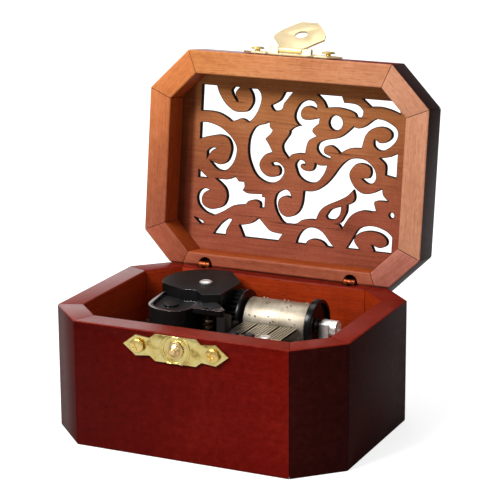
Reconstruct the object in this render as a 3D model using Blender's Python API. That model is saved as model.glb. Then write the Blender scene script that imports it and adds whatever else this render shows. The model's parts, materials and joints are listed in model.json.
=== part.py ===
# Key-wound music box: an eight-sided wooden case with a hinged lid, a pierced scroll panel, a brass hasp
# and an eighteen-note cylinder movement.
# Sizes are in millimetres and become metres when a mesh is made. In the case's own frame X runs along the
# front, -Y is the front and Z is up from the table; the pieces are drawn with the lid shut and latched.

import math

import bmesh
import bpy
from mathutils import Matrix, Vector

MM = 0.001

# Case
CASE_LENGTH = 106.0
CASE_WIDTH = 80.4
BASE_HEIGHT = 43.2
LID_HEIGHT = 12.55
RIM_GAP = 0.65
WALL = 8.2
CORNER_CUT = 14.4
EDGE_EASE = 0.35
MITRE_GAP = 0.1
KEY_ROOM = 19.0
FLOOR_THICKNESS = 3.0
GROOVE_DEPTH = 2.0
WOOD_FIT = 0.15
SEAT_GAP = 0.2
RUN_GAP = 0.3

# Lid and its pierced panel
LID_OPEN_ANGLE = 97.5
PANEL_THICKNESS = 2.0
PANEL_SEAT = 3.0
PATTERN_SHIFT = -0.7
CURVE_STEPS = 2

# Barrel hinges
HINGE_INSET = 4.2
HINGE_END_ROOM = 25.0
BARREL_RADIUS = 2.5
BARREL_LENGTH = 9.6
BARREL_SETBACK = 2.0
KNUCKLE_RADIUS = 1.15
TONGUE_WIDTH = 1.2
EAR_WIDTH = 1.25
HINGE_PIN_RADIUS = 0.5
PIN_FIT = 0.15

# Latch plates, stud and hasp
LATCH_X = -0.9
LATCH_CORNERS = ((18.9, 0.0), (14.4, 3.5), (9.35, 2.95), (7.3, 4.55))
PLATE_THICKNESS = 0.7
STRIKE_DROP = 5.0
STUD_REACH = 3.5
STUD_RADIUS = 1.8
STUD_FLANGE = 2.9
RING_RADIUS = 5.5
HASP_PLATE_RISE = 6.25
HASP_AXIS_RISE = 4.45
HASP_STAND_OFF = 2.1
HASP_SWING = 150.0
HASP_KNUCKLE = 0.9
HASP_KNUCKLE_LENGTH = 9.0
HASP_LUG_LENGTH = 3.3
HASP_PIN_RADIUS = 0.4
LEAF_THICKNESS = 0.7
LEAF_LENGTH = 18.3
LEAF_HOLE = 2.3
# Half widths of the leaf at shares of its length, from the knuckle to the tip
LEAF_SIDE = (
    (4.3, 0.077), (5.6, 0.131), (6.6, 0.213), (9.8, 0.426), (9.1, 0.585), (7.8, 0.71), (5.6, 0.858),
    (3.2, 1.0),
)
SCREW_OFFSET = 13.5
SCREW_HEAD_RADIUS = 2.4
SCREW_SHANK_RADIUS = 0.9
SCREW_LENGTH = 6.0

# Movement: the frame
BED_THICKNESS = 2.0
BED_LEFT = -37.5
BED_RIGHT = 34.5
BED_DEPTH = 53.0
BED_ROOM = 1.0
BED_CORNER = 4.0
BED_SCREW_RADIUS = 1.2
BED_SCREW_INSET = 5.0
AXLE_RISE = 12.0
CYLINDER_SETBACK = 17.2
ARBOR_X = -17.1
ARBOR_RADIUS = 1.8

# Movement: cylinder and its gears
GEAR_MODULE = 0.5933
CYLINDER_TEETH = 30
DRIVE_TEETH = 48
PINION_TEETH = 12
TOOTH_SHARE = 0.4
GEAR_LEFT = -4.3
GEAR_WIDTH = 2.9
FLANGE_RADIUS = 9.5
FLANGE_WIDTH = 0.8
CYLINDER_LEFT = 0.5
CYLINDER_LENGTH = 23.0
CYLINDER_RADIUS = 7.2
PIN_RISE = 0.5
PIN_RADIUS = 0.17
END_DISC_RADIUS = 9.2
END_DISC_WIDTH = 2.6
AXLE_RADIUS = 1.0
BOSS_LENGTH = 6.0
BOSS_RADIUS = 2.7
STRAP_WIDTH = 3.4
STRAP_DEPTH = 8.0
STRAP_THICKNESS = 1.1

# Movement: governor
WORM_X = -6.1
WHEEL_TEETH = 20
WHEEL_RADIUS = 6.3
WHEEL_WIDTH = 1.2
WORM_RADIUS = 1.64
WORM_STARTS = 2
WORM_LENGTH = 8.0
THREAD_DEPTH = 0.8
SPINDLE_RADIUS = 0.7
BRAKE_RADIUS = 4.2
BRAKE_HEIGHT = 3.0
POST_WIDTH = 1.2
POST_EYE = 2.2
POST_BLOCK_WIDTH = 3.0
POST_BLOCK_DEPTH = 5.0
POST_REACH = 1.4

# Movement: comb
COMB_LEFT = 1.25
COMB_GROUPS = (5, 7, 6)
NOTE_PITCH = 1.06
GROUP_GAP = 0.55
TOOTH_SLOT = 0.45
COMB_THICKNESS = 0.8
COMB_RISE = 0.4
COMB_REACH = 21.5
COMB_DEPTH = 9.3
COMB_MARGIN = 0.3
COMB_SCREW_ROW = 2.2
COMB_SCREW_SHARES = (0.18, 0.47, 0.76)
COMB_SCREW_RADIUS = 1.0

# Movement: spring housing, mainspring and key
HOUSING_RISE = 23.0
HOUSING_RADIUS = 14.8
HOUSING_ROOF = 2.2
HOUSING_SKIRT = 2.2
# The drum's front wall and its nose, from the arbor
DRUM_FRONT = ((-8.2, -9.9), (-2.2, -12.3), (2.2, -11.6), (6.8, -15.9))
NOSE_RIGHT = -12.6
FLAT_BACK = 3.2
HOUSING_SCREW_PLACE = (1.8, -2.9)
HOUSING_SCREW_RADIUS = 0.9
HOUSING_FOOT_ANGLES = (130.0, 200.0)
SPRING_ROOM = 10.4
SPRING_TURNS = 5
SPRING_STRIP = 0.5
LOBE_DROP = 3.0
LOBE_PLACE = (-3.5, -19.2)
# The lobe's rounded wall, from the arbor: from the notch beside the drum round to the spindle's arm
LOBE_SIDE = (
    (-11.9, -5.8), (-11.5, -13.8), (-10.9, -19.8), (-10.1, -23.1), (-8.2, -25.7), (-5.2, -27.6),
    (-1.4, -28.4), (2.5, -27.9), (4.7, -25.8), (5.7, -23.1),
)
LOBE_RIM = 1.5
LOBE_RECESS = 1.2
LOBE_BOSS_RADIUS = 2.6
ARM_THICKNESS = 1.8
ARM_END = 0.0
KEY_SPAN = 22.0
KEY_HEIGHT = 10.0
KEY_THICKNESS = 2.6
KEY_WING = 4.5

# Sizes that follow from the ones above
HALF_LENGTH = CASE_LENGTH / 2
HALF_WIDTH = CASE_WIDTH / 2
LID_BOTTOM = BASE_HEIGHT + RIM_GAP
LID_TOP = LID_BOTTOM + LID_HEIGHT
HINGE_SPREAD = HALF_LENGTH - HINGE_END_ROOM
HINGE_Y = HALF_WIDTH - HINGE_INSET
HINGE_Z = LID_BOTTOM
FLOOR_TOP = KEY_ROOM + FLOOR_THICKNESS
BED_BOTTOM = FLOOR_TOP + SEAT_GAP
BED_TOP = BED_BOTTOM + BED_THICKNESS
BED_BACK = HALF_WIDTH - WALL - BED_ROOM
BED_FRONT = BED_BACK - BED_DEPTH
CYLINDER_Y = BED_BACK - CYLINDER_SETBACK
STRIKE_Z = BASE_HEIGHT - STRIKE_DROP
HASP_Y = -HALF_WIDTH - HASP_STAND_OFF
HASP_Z = LID_BOTTOM + HASP_AXIS_RISE
HASP_PLATE_Z = LID_BOTTOM + HASP_PLATE_RISE
AXLE_Z = FLOOR_TOP + AXLE_RISE
HOUSING_TOP = FLOOR_TOP + HOUSING_RISE
LOBE_TOP = HOUSING_TOP - LOBE_DROP
ARBOR_Y = CYLINDER_Y
GEAR_PITCH = GEAR_MODULE * CYLINDER_TEETH / 2
GEAR_TIP = GEAR_PITCH + 0.7 * GEAR_MODULE
GEAR_ROOT = GEAR_PITCH - 1.9 * GEAR_MODULE
PINION_PITCH = GEAR_MODULE * PINION_TEETH / 2
PINION_TIP = PINION_PITCH + 0.7 * GEAR_MODULE
PINION_ROOT = PINION_PITCH - 1.6 * GEAR_MODULE
DRIVE_PITCH = GEAR_MODULE * DRIVE_TEETH / 2
DRIVE_OUTER = DRIVE_PITCH + 0.9
DRIVE_INNER = DRIVE_PITCH - 1.0
GOVERNOR_Y = CYLINDER_Y - GEAR_PITCH - PINION_PITCH
WORM_Y = GOVERNOR_Y - WHEEL_RADIUS - WORM_RADIUS
THREAD_PITCH = 2 * math.pi * WHEEL_RADIUS / WHEEL_TEETH
CYLINDER_RIGHT = CYLINDER_LEFT + CYLINDER_LENGTH
DISC_LEFT = CYLINDER_RIGHT + RUN_GAP
DISC_RIGHT = DISC_LEFT + END_DISC_WIDTH
BOSS_LEFT = DISC_RIGHT + 2 * RUN_GAP
BOSS_RIGHT = BOSS_LEFT + BOSS_LENGTH
COMB_TIP = CYLINDER_Y - CYLINDER_RADIUS - PIN_RISE - RUN_GAP
COMB_ROOT = CYLINDER_Y - COMB_REACH
COMB_BACK = COMB_ROOT - COMB_DEPTH
BRAKE_LOW = BED_TOP + 2 * RUN_GAP
ARM_LOW = LOBE_TOP - ARM_THICKNESS

# Finishes: colour, roughness, metallic
FINISHES = {
    "mahogany": ((0.16, 0.022, 0.012), 0.35, 0.0),
    "walnut": ((0.20, 0.065, 0.025), 0.45, 0.0),
    "plywood": ((0.30, 0.13, 0.055), 0.6, 0.0),
    "brass": ((0.83, 0.70, 0.38), 0.28, 1.0),
    "gilt_steel": ((0.85, 0.58, 0.20), 0.3, 1.0),
    "nickel": ((0.62, 0.61, 0.58), 0.25, 1.0),
    "steel": ((0.45, 0.45, 0.44), 0.35, 1.0),
    "spring_steel": ((0.20, 0.21, 0.23), 0.35, 1.0),
    "black_plastic": ((0.012, 0.012, 0.013), 0.35, 0.0),
    "cast_zinc": ((0.40, 0.40, 0.39), 0.5, 1.0),
}


def clear_scene():
    """Remove whatever the scene holds."""
    for item in list(bpy.data.objects):
        bpy.data.objects.remove(item, do_unlink=True)


def finish(name):
    """The Principled material of one finish."""
    material = bpy.data.materials.get(name)
    if material is None:
        colour, roughness, metallic = FINISHES[name]
        material = bpy.data.materials.new(name)
        material.use_nodes = True
        shader = material.node_tree.nodes["Principled BSDF"]
        shader.inputs["Base Color"].default_value = (*colour, 1.0)
        shader.inputs["Roughness"].default_value = roughness
        shader.inputs["Metallic"].default_value = metallic
    return material


class Body:
    """A rigid body: an empty on the joint axis that its pieces hang from."""

    def __init__(self, name, anchor, parent=None, turn=0.0, shift=(0.0, 0.0, 0.0)):
        self.anchor = Vector(anchor)
        self.empty = bpy.data.objects.new(name, None)
        bpy.context.scene.collection.objects.link(self.empty)
        place = self.anchor + Vector(shift)
        if parent is not None:
            self.empty.parent = parent.empty
            place = self.anchor - parent.anchor
        self.empty.location = place * MM
        self.empty.rotation_euler.x = math.radians(turn)

    def add(self, name, solid, material_name=None):
        """Turn a bmesh in case millimetres into an object of this body; a cutter has no material."""
        bmesh.ops.translate(solid, verts=solid.verts, vec=-self.anchor)
        bmesh.ops.scale(solid, verts=solid.verts, vec=(MM, MM, MM))
        mesh = bpy.data.meshes.new(name)
        solid.to_mesh(mesh)
        solid.free()
        item = bpy.data.objects.new(name, mesh)
        item.parent = self.empty
        bpy.context.scene.collection.objects.link(item)
        if material_name is None:
            item.hide_render = True
            item.display_type = "WIRE"
        else:
            mesh.materials.append(finish(material_name))
            mesh.shade_smooth()
            mesh.set_sharp_from_angle(angle=math.radians(35))
        return item


def combine(item, operand, operation):
    """Add a live Boolean to a piece."""
    modifier = item.modifiers.new(operand.name, "BOOLEAN")
    modifier.operation = operation
    modifier.solver = "EXACT"
    modifier.object = operand


def cut(item, *cutters):
    for cutter in cutters:
        combine(item, cutter, "DIFFERENCE")


def weld(item, *parts):
    for part in parts:
        combine(item, part, "UNION")


def merged(*solids):
    """Several bmeshes as the separate bodies of one."""
    whole = bmesh.new()
    for solid in solids:
        carrier = bpy.data.meshes.new("carrier")
        solid.to_mesh(carrier)
        solid.free()
        whole.from_mesh(carrier)
        bpy.data.meshes.remove(carrier)
    return whole


def along(axis, u, v, w):
    """A point at u, v across an axis and w along it."""
    return {"X": (w, u, v), "Y": (u, w, v), "Z": (u, v, w)}[axis]


def prism(outline, low, high, axis="Z", twist=0.0, steps=1):
    """A closed outline extruded from low to high, turned by twist degrees on its way."""
    solid = bmesh.new()
    rings = []
    for step in range(steps + 1):
        share = step / steps
        angle = math.radians(twist) * share
        ring = []
        for u, v in outline:
            turned_u = u * math.cos(angle) - v * math.sin(angle)
            turned_v = u * math.sin(angle) + v * math.cos(angle)
            height = low + (high - low) * share
            ring.append(solid.verts.new(along(axis, turned_u, turned_v, height)))
        rings.append(ring)
    solid.faces.new(rings[0])
    solid.faces.new(rings[-1])
    for lower, upper in zip(rings, rings[1:]):
        for index in range(len(outline)):
            following = (index + 1) % len(outline)
            solid.faces.new((lower[index], lower[following], upper[following], upper[index]))
    bmesh.ops.recalc_face_normals(solid, faces=solid.faces)
    return solid


def moved(solid, x=0.0, y=0.0, z=0.0):
    bmesh.ops.translate(solid, verts=solid.verts, vec=(x, y, z))
    return solid


def block(x_range, y_range, z_range):
    """A rectangular block between two corners."""
    outline = [
        (x_range[0], y_range[0]),
        (x_range[1], y_range[0]),
        (x_range[1], y_range[1]),
        (x_range[0], y_range[1]),
    ]
    return prism(outline, *z_range)


def lathe(profile, centre=(0.0, 0.0, 0.0), axis="Z", steps=32, closed=False):
    """A revolve of (radius, height) points about an axis through centre."""
    solid = bmesh.new()
    points = [solid.verts.new((radius, 0.0, height)) for radius, height in profile]
    edges = [solid.edges.new(pair) for pair in zip(points, points[1:])]
    if closed:
        edges.append(solid.edges.new((points[-1], points[0])))
    bmesh.ops.spin(
        solid,
        geom=points + edges,
        cent=(0, 0, 0),
        axis=(0, 0, 1),
        angle=2 * math.pi,
        steps=steps,
        use_merge=True,
    )
    bmesh.ops.remove_doubles(solid, verts=solid.verts, dist=1e-4)
    bmesh.ops.recalc_face_normals(solid, faces=solid.faces)
    turns = {
        "X": Matrix.Rotation(math.pi / 2, 3, "Y"),
        "Y": Matrix.Rotation(-math.pi / 2, 3, "X"),
        "-Y": Matrix.Rotation(math.pi / 2, 3, "X"),
        "Z": Matrix.Identity(3),
        "-Z": Matrix.Rotation(math.pi, 3, "X"),
    }
    bmesh.ops.rotate(solid, verts=solid.verts, cent=(0, 0, 0), matrix=turns[axis])
    return moved(solid, *centre)


def rod(radius, low, high, centre=(0.0, 0.0, 0.0), axis="Z", steps=24):
    """A plain round bar."""
    return lathe([(0, low), (radius, low), (radius, high), (0, high)], centre, axis, steps)


def arc(centre, radius, start, end, steps):
    """Points on an arc between two angles in degrees."""
    points = []
    for step in range(steps + 1):
        angle = math.radians(start + (end - start) * step / steps)
        points.append((centre[0] + radius * math.cos(angle), centre[1] + radius * math.sin(angle)))
    return points


def octagon(inset):
    """The case's outline drawn in by inset, anticlockwise from the front's right end."""
    x = HALF_LENGTH - inset
    y = HALF_WIDTH - inset
    leg = CORNER_CUT - inset * (2 - math.sqrt(2))
    return [
        (x - leg, -y),
        (x, -y + leg),
        (x, y - leg),
        (x - leg, y),
        (-x + leg, y),
        (-x, y - leg),
        (-x, -y + leg),
        (-x + leg, -y),
    ]


SIDES = (
    "front_right_corner_board",
    "right_board",
    "rear_right_corner_board",
    "back_board",
    "rear_left_corner_board",
    "left_board",
    "front_left_corner_board",
    "front_board",
)


def mitred_board(side, low, high):
    """One wall of the eight-sided frame, mitred at both ends, with its four long edges eased."""
    outer = [Vector(point) for point in octagon(0)]
    inner = [Vector(point) for point in octagon(WALL)]
    following = (side + 1) % 8
    direction = (outer[following] - outer[side]).normalized()
    trim = direction * (MITRE_GAP / 2 / math.cos(math.radians(22.5)))
    outline = [
        outer[side] + trim,
        outer[following] - trim,
        inner[following] - trim,
        inner[side] + trim,
    ]
    solid = prism([tuple(point) for point in outline], low, high)
    long_edges = []
    for edge in solid.edges:
        run = (edge.verts[1].co - edge.verts[0].co).normalized()
        if abs(run.x * direction.x + run.y * direction.y) > 0.999:
            long_edges.append(edge)
    bmesh.ops.bevel(solid, geom=long_edges, offset=EDGE_EASE, segments=1, affect="EDGES")
    return solid


def rear_bevel(rim, sign, reach=12.0, margin=8.0):
    """Wedge that bevels the rear rim so that base and lid meet face to face when the lid is open."""
    drop = reach * math.tan(math.radians(LID_OPEN_ANGLE / 2))
    outline = [
        (HINGE_Y, rim),
        (HINGE_Y + reach, rim - sign * drop),
        (HINGE_Y + reach, rim + sign * margin),
        (HINGE_Y, rim + sign * margin),
    ]
    return prism(outline, -HALF_LENGTH, HALF_LENGTH, "X")


def build_case(case):
    """The base's eight boards and the floor panel in their groove."""
    groove = case.add(
        "floor_groove_cutter",
        prism(octagon(WALL - GROOVE_DEPTH), KEY_ROOM - WOOD_FIT, FLOOR_TOP + WOOD_FIT),
    )
    bevel = case.add("base_bevel_cutter", rear_bevel(BASE_HEIGHT, 1))
    hinge_holes = case.add(
        "base_hinge_hole_cutter",
        merged(*[
            rod(BARREL_RADIUS + PIN_FIT, -BARREL_LENGTH - SEAT_GAP, 1.0, (x, HINGE_Y, HINGE_Z))
            for x in (-HINGE_SPREAD, HINGE_SPREAD)
        ]),
    )
    screw_holes = case.add("strike_pilot_cutter", pilot_holes(STRIKE_Z))
    for side, name in enumerate(SIDES):
        board = case.add(name, mitred_board(side, 0.0, BASE_HEIGHT), "mahogany")
        cut(board, groove)
        if name.startswith(("rear", "back")):
            cut(board, bevel)
        if name == "back_board":
            cut(board, hinge_holes)
        if name == "front_board":
            cut(board, screw_holes)

    panel = prism(octagon(WALL - GROOVE_DEPTH + SEAT_GAP), KEY_ROOM, FLOOR_TOP)
    floor = case.add("floor_panel", panel, "plywood")
    holes = [rod(ARBOR_RADIUS + 1.0, KEY_ROOM - 1, FLOOR_TOP + 1, (ARBOR_X, ARBOR_Y, 0.0))]
    for x, y in bed_screw_places():
        holes.append(rod(BED_SCREW_RADIUS + RUN_GAP, KEY_ROOM - 1, FLOOR_TOP + 1, (x, y, 0.0), steps=16))
    cut(floor, case.add("floor_hole_cutter", merged(*holes)))


def build_lid(lid):
    """The lid's eight boards with the rebate that the pierced panel lies in."""
    rebate = lid.add(
        "panel_rebate_cutter",
        prism(octagon(WALL - PANEL_SEAT), LID_TOP - PANEL_THICKNESS - SEAT_GAP, LID_TOP + 2.0),
    )
    bevel = lid.add("lid_bevel_cutter", rear_bevel(LID_BOTTOM, -1))
    hinge_holes = lid.add(
        "lid_hinge_hole_cutter",
        merged(*[
            rod(BARREL_RADIUS + PIN_FIT, -1.0, BARREL_LENGTH + SEAT_GAP, (x, HINGE_Y, HINGE_Z))
            for x in (-HINGE_SPREAD, HINGE_SPREAD)
        ]),
    )
    screw_holes = lid.add("hasp_pilot_cutter", pilot_holes(HASP_PLATE_Z))
    for side, name in enumerate(SIDES):
        board = lid.add("lid_" + name, mitred_board(side, LID_BOTTOM, LID_TOP), "walnut")
        cut(board, rebate)
        if name.startswith(("rear", "back")):
            cut(board, bevel)
        if name == "back_board":
            cut(board, hinge_holes)
        if name == "front_board":
            cut(board, screw_holes)


# The scrollwork, seen from above with the front at the bottom. Each piercing is a list of runs; a run starts
# at a corner and goes on as one smooth curve to the next run's corner, so a lone point is a straight edge.
PIERCINGS = {
    "front_left_leaf": [
        [(-36.7, -27.5)],
        [(-31, -27.5), (-30, -25), (-27.5, -21.5), (-24, -19), (-21, -18.7), (-18.5, -19.2), (-17, -21),
         (-16.3, -23), (-16.8, -25.5)],
        [(-18, -27.3)],
        [(-15, -27.4), (-13.7, -26), (-13.3, -23.5), (-14.5, -19.5), (-16.5, -16.5)],
        [(-18, -15.5), (-19.5, -16.3), (-21, -16.5), (-22.5, -15.8)],
        [(-24.5, -15.2), (-26.5, -16.5), (-29.5, -17.8), (-33, -18.3)],
        [(-36.7, -18.2)],
    ],
    "front_hook": [
        [(-25.0, -26.2), (-24, -27.5)],
        [(-22, -27.5), (-23.3, -26), (-23.4, -24.6), (-22.2, -22.4)],
        [(-23.2, -22.9), (-24.3, -24.5)],
    ],
    "left_crescent": [
        [(-36.7, -13.7), (-34, -14), (-29, -12.7), (-25, -10), (-22.5, -7), (-22, -4.5), (-22.8, -1),
         (-25, 2),
         (-27.5, 2.8), (-30, 2)],
        [(-32.3, -0.3), (-30.5, 0.3), (-28, 0.8), (-25.5, -0.5), (-24.3, -3), (-24, -6), (-25.5, -9),
         (-28.5, -10), (-31, -9.7), (-34.5, -8.8)],
        [(-36.7, -8)],
    ],
    "left_hook": [
        [(-33.6, -3.6), (-32, -4.9)],
        [(-30, -5), (-31.6, -4.1), (-32.8, -2.6)],
        [(-33.6, -1.2)],
    ],
    "left_tip": [
        [(-36.7, 3.3)],
        [(-36.7, 6)],
        [(-33, 6), (-35, 4.5)],
    ],
    "left_flower": [
        [(-29.7, 6), (-25, 6)],
        [(-22, 4.7)],
        [(-20.5, 6.3)],
        [(-18.5, 6.3), (-18.2, 8)],
        [(-19, 9.2), (-17, 10.2), (-14, 10.2)],
        [(-11.2, 10)],
        [(-11.2, 11)],
        [(-10, 11)],
        [(-10, 14.8)],
        [(-11.5, 14.8), (-11.7, 13), (-14, 12.2), (-16.5, 13), (-17.7, 14.2), (-22, 15), (-26, 17.5)],
        [(-29.8, 19.3), (-33, 18.5), (-36, 16), (-36.7, 13), (-35.5, 10.8), (-33.5, 10)],
        [(-32, 10.3), (-34, 11.5), (-35, 13.5), (-34.5, 15.8), (-32, 17.2), (-29, 17), (-26, 15.5),
         (-24.8, 12.5), (-25.5, 9.5), (-27.5, 7.5)],
    ],
    "left_drop": [
        [(-37.6, 20.7), (-35.2, 21.6), (-33.9, 22.1), (-34.2, 22.9), (-35.2, 22.8)],
    ],
    "rear_left_thorn": [
        [(-29.5, 26)],
        [(-24.8, 26), (-24.5, 24)],
        [(-22.5, 20.3), (-24, 20.2), (-27, 22.5)],
    ],
    "rear_left_hill": [
        [(-19.5, 22), (-15, 21)],
        [(-12, 18.7), (-10, 20.5), (-7, 23)],
        [(-2.5, 23.5)],
        [(-4, 26)],
        [(-17.5, 26)],
    ],
    "middle_crescent": [
        [(-9.5, -16), (-12, -15), (-15, -13.8), (-17, -10), (-17.3, -5), (-16.3, -1), (-14, 3), (-11, 5),
         (-8, 5.5), (-5, 4.5), (-3.3, 2.3), (-3, 0.5), (-4, -1), (-6, -2)],
        [(-8, -1.5), (-7.3, -0.8), (-5.5, -0.8), (-4.5, 0.5), (-4.7, 2.3), (-6.5, 3.3), (-9.5, 3.3),
         (-12, 1.5),
         (-12.8, -1), (-11.5, -3.5), (-10, -4.8)],
        [(-8, -5.5), (-9.5, -8)],
        [(-11, -10), (-9, -12)],
        [(-8.3, -13.2), (-9.5, -14.5)],
    ],
    "front_sprout": [
        [(-4.3, -27)],
        [(-1.3, -27.3), (-3, -25), (-4.5, -23), (-5.2, -21), (-8, -20.3)],
        [(-9.3, -22), (-6, -24)],
    ],
    "middle_leaf": [
        [(8.3, -23.3), (7, -24.6), (4.5, -24.8), (2, -23.5), (0.3, -20.5), (0.2, -18), (1.5, -16.3)],
        [(2.5, -15.7), (0, -14.8)],
        [(-1.5, -13.5), (-1.8, -12), (-4, -8.5), (-3.5, -6)],
        [(-1.5, -3.8), (-0.5, -5.2), (2, -6)],
        [(4.7, -6), (5, -8.5), (6, -11)],
        [(8.7, -12.5), (7, -14), (7.5, -15.5)],
        [(9.3, -17)],
        [(9.5, -19), (6, -18), (3.2, -18.2), (2.2, -20), (3, -22), (5, -23), (7, -22.6)],
        [(8.2, -22)],
    ],
    "front_bead": [arc((15.8, -17.8), 2.6, 0, 324, 9)],
    "front_scroll": [
        [(8.3, -27.2)],
        [(17.5, -27.2)],
        [(18.5, -25), (23, -24.8), (25.8, -22.8)],
        [(25.3, -20.5)],
        [(23.5, -20.3), (22.8, -21.7), (20, -22.8), (16, -23.3)],
        [(12, -22.9), (11, -24.8), (9.5, -26.3)],
    ],
    "front_right_corner": [
        [(25.3, -27)],
        [(38.8, -27)],
        [(39.7, -22.7), (36, -24), (32, -24.7)],
        [(28.5, -24.5)],
    ],
    "right_wave": [
        [(31, -20.3), (34, -20), (38, -18), (39.2, -15.5), (38, -12.5), (35, -10), (32.5, -9.7), (30.7, -11)],
        [(30.5, -13), (31.3, -12.9), (32.5, -12.2), (34.5, -12.3), (36.8, -14), (36.9, -16), (35, -17.5),
         (32, -17.8), (29, -16.5), (27, -14)],
        [(26, -9.8), (22, -9.5), (19.5, -8.3)],
        [(18, -7.3), (16.5, -8.8), (14.5, -9.8), (12.5, -9.3), (11.7, -7.8), (12.5, -6.5), (14.5, -5.8)],
        [(14, -5), (11, -6), (9.3, -8), (10, -10.3), (13, -11.6), (17, -12.5), (20, -14.5)],
        [(22.5, -17), (24.5, -16.5), (27, -17.5), (29.5, -19.5)],
    ],
    "right_fin": [
        [(33, -6.8), (36.5, -7.5)],
        [(39.5, -9)],
        [(39.5, -0.5)],
        [(35.5, -1.2), (35.5, -4), (34.7, -5.5)],
    ],
    "heart_leaf": [
        [(1.3, -1.7), (2.3, -3.5), (4.5, -3.3)],
        [(5, -2), (3.5, -2.3), (3.3, -1), (5, 0), (7.5, 0), (8.7, -1.5)],
        [(8.7, -3), (10.5, -2.3)],
        [(13.3, -2.5), (12.5, 0), (10.5, 3), (8, 4), (5, 3.5), (2.5, 1.5)],
    ],
    "great_scroll": [
        [(5, 7.3), (9, 7), (13, 4.5), (16, 1), (18, -2), (21, -5), (24.5, -6), (28, -5.5), (31, -3), (32, 0),
         (31, 2), (29, 2.3)],
        [(26.8, 1), (28, 0.7), (29.5, 0.5), (30.2, -1.5), (29.5, -3.5), (27, -4.5), (24.5, -4.2), (22.5, -2),
         (22, 0.5), (24, 4), (27, 6), (30, 6), (32.5, 5)],
        [(34.5, 3.8), (35, 6)],
        [(37, 7.9), (33, 8), (31.8, 9)],
        [(32.7, 11.7), (31, 12), (28, 11.9), (25, 13), (22.5, 15.3)],
        [(20.3, 19.2), (19, 17.8)],
        [(17.2, 17.7), (19.5, 17.3), (21, 15), (21.8, 13)],
        [(21.8, 10.8), (24, 9.5), (24.6, 7.5)],
        [(23.8, 5), (21.5, 7.5), (18, 9.5), (14, 11.5), (11.5, 13.8)],
        [(10.2, 17), (8, 17), (5, 17.6), (3, 19), (0.5, 19.6), (-2, 19.3), (-3.8, 17.5), (-5.3, 15), (-6, 12),
         (-5, 9), (-2, 7.5), (-0.3, 8.5)],
        [(0.3, 10.1), (-2, 9.6), (-4.3, 11), (-4.7, 13.5), (-3.5, 16), (-1, 17.2), (2, 16.3), (4, 14),
         (4.8, 11)],
    ],
    "rear_eye": [
        [(14.2, 15.3), (15.5, 13.3), (17.3, 12.3)],
        [(19.5, 11.6), (19.2, 14.2), (17.5, 16), (14.8, 16.2)],
    ],
    "rear_arch": [
        [(3.2, 26), (4, 23.5), (6, 21), (9.5, 20), (13, 21.3), (15.5, 24)],
        [(17.5, 26.1)],
        [(15, 26), (13.5, 24.7), (11.5, 24), (9, 24), (7.3, 25)],
        [(6.8, 26)],
    ],
    "rear_right_scroll": [
        [(22.5, 26), (24.5, 22.5), (26.5, 19), (29.5, 17.5), (33, 17.3), (37, 18.5)],
        [(39.3, 20.3)],
        [(39.3, 26)],
        [(33, 26)],
        [(31.8, 23.8), (35, 24.6), (37.3, 23.5), (37.5, 21.5), (35, 19.5), (31, 18.9), (27.5, 19.7),
         (25.5, 21.5), (25.3, 23.5)],
        [(27.5, 26)],
    ],
    "right_bead": [arc((38.6, 12.7), 1.0, 0, 300, 5)],
}


def smooth_run(points, closed=False):
    """A Catmull-Rom curve through a run's points, without its last point."""
    count = len(points)
    curve = []
    for index in range(count if closed else count - 1):
        second = Vector(points[index])
        third = Vector(points[(index + 1) % count])
        if closed or index > 0:
            first = Vector(points[index - 1])
        else:
            first = second
        if closed or index + 2 < count:
            fourth = Vector(points[(index + 2) % count])
        else:
            fourth = third
        steps = CURVE_STEPS if closed or count > 2 else 1
        for step in range(steps):
            t = step / steps
            curve.append(0.5 * (
                2 * second
                + (third - first) * t
                + (2 * first - 5 * second + 4 * third - fourth) * t * t
                + (3 * second - first - 3 * third + fourth) * t * t * t
            ))
    return curve


def piercing_outline(runs):
    """The closed outline of one piercing, moved to the middle of the lid."""
    outline = []
    if len(runs) == 1:
        outline = smooth_run(runs[0], closed=True)
    else:
        for index, run in enumerate(runs):
            outline += smooth_run(run + [runs[(index + 1) % len(runs)][0]])
    return [(point.x + PATTERN_SHIFT, point.y) for point in outline]


def build_panel(lid):
    """The pierced plywood panel."""
    low = LID_TOP - PANEL_THICKNESS
    panel = lid.add("filigree_panel", prism(octagon(WALL - PANEL_SEAT + WOOD_FIT), low, LID_TOP), "walnut")
    piercings = [prism(piercing_outline(runs), low - 1.0, LID_TOP + 1.0) for runs in PIERCINGS.values()]
    cut(panel, lid.add("piercing_cutter", merged(*piercings)))


def knuckle_outline(radius, length):
    """A round eye about the origin with a neck that runs to -length in v."""
    return arc((0, 0), radius, 0, 180, 7) + [(-radius, -length), (radius, -length)]


def barrel(x, sign):
    """The bevelled barrel of one hinge half, in its hole."""
    slope = math.tan(math.radians(LID_OPEN_ANGLE / 2))
    shoulder = BARREL_SETBACK + (BARREL_RADIUS - KNUCKLE_RADIUS) * slope
    profile = [
        (0, BARREL_SETBACK),
        (KNUCKLE_RADIUS, BARREL_SETBACK),
        (BARREL_RADIUS, shoulder),
        (BARREL_RADIUS, BARREL_LENGTH),
        (0, BARREL_LENGTH),
    ]
    return lathe(profile, (x, HINGE_Y, HINGE_Z), "Z" if sign > 0 else "-Z", 16)


def hinge_eye(x_low, x_high, sign):
    """A flat eye on the hinge line whose neck goes down into the base or up into the lid."""
    outline = [(u, -sign * v) for u, v in knuckle_outline(KNUCKLE_RADIUS, BARREL_SETBACK + 1.0)]
    return moved(prism(outline, x_low, x_high, "X"), 0.0, HINGE_Y, HINGE_Z)


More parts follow.
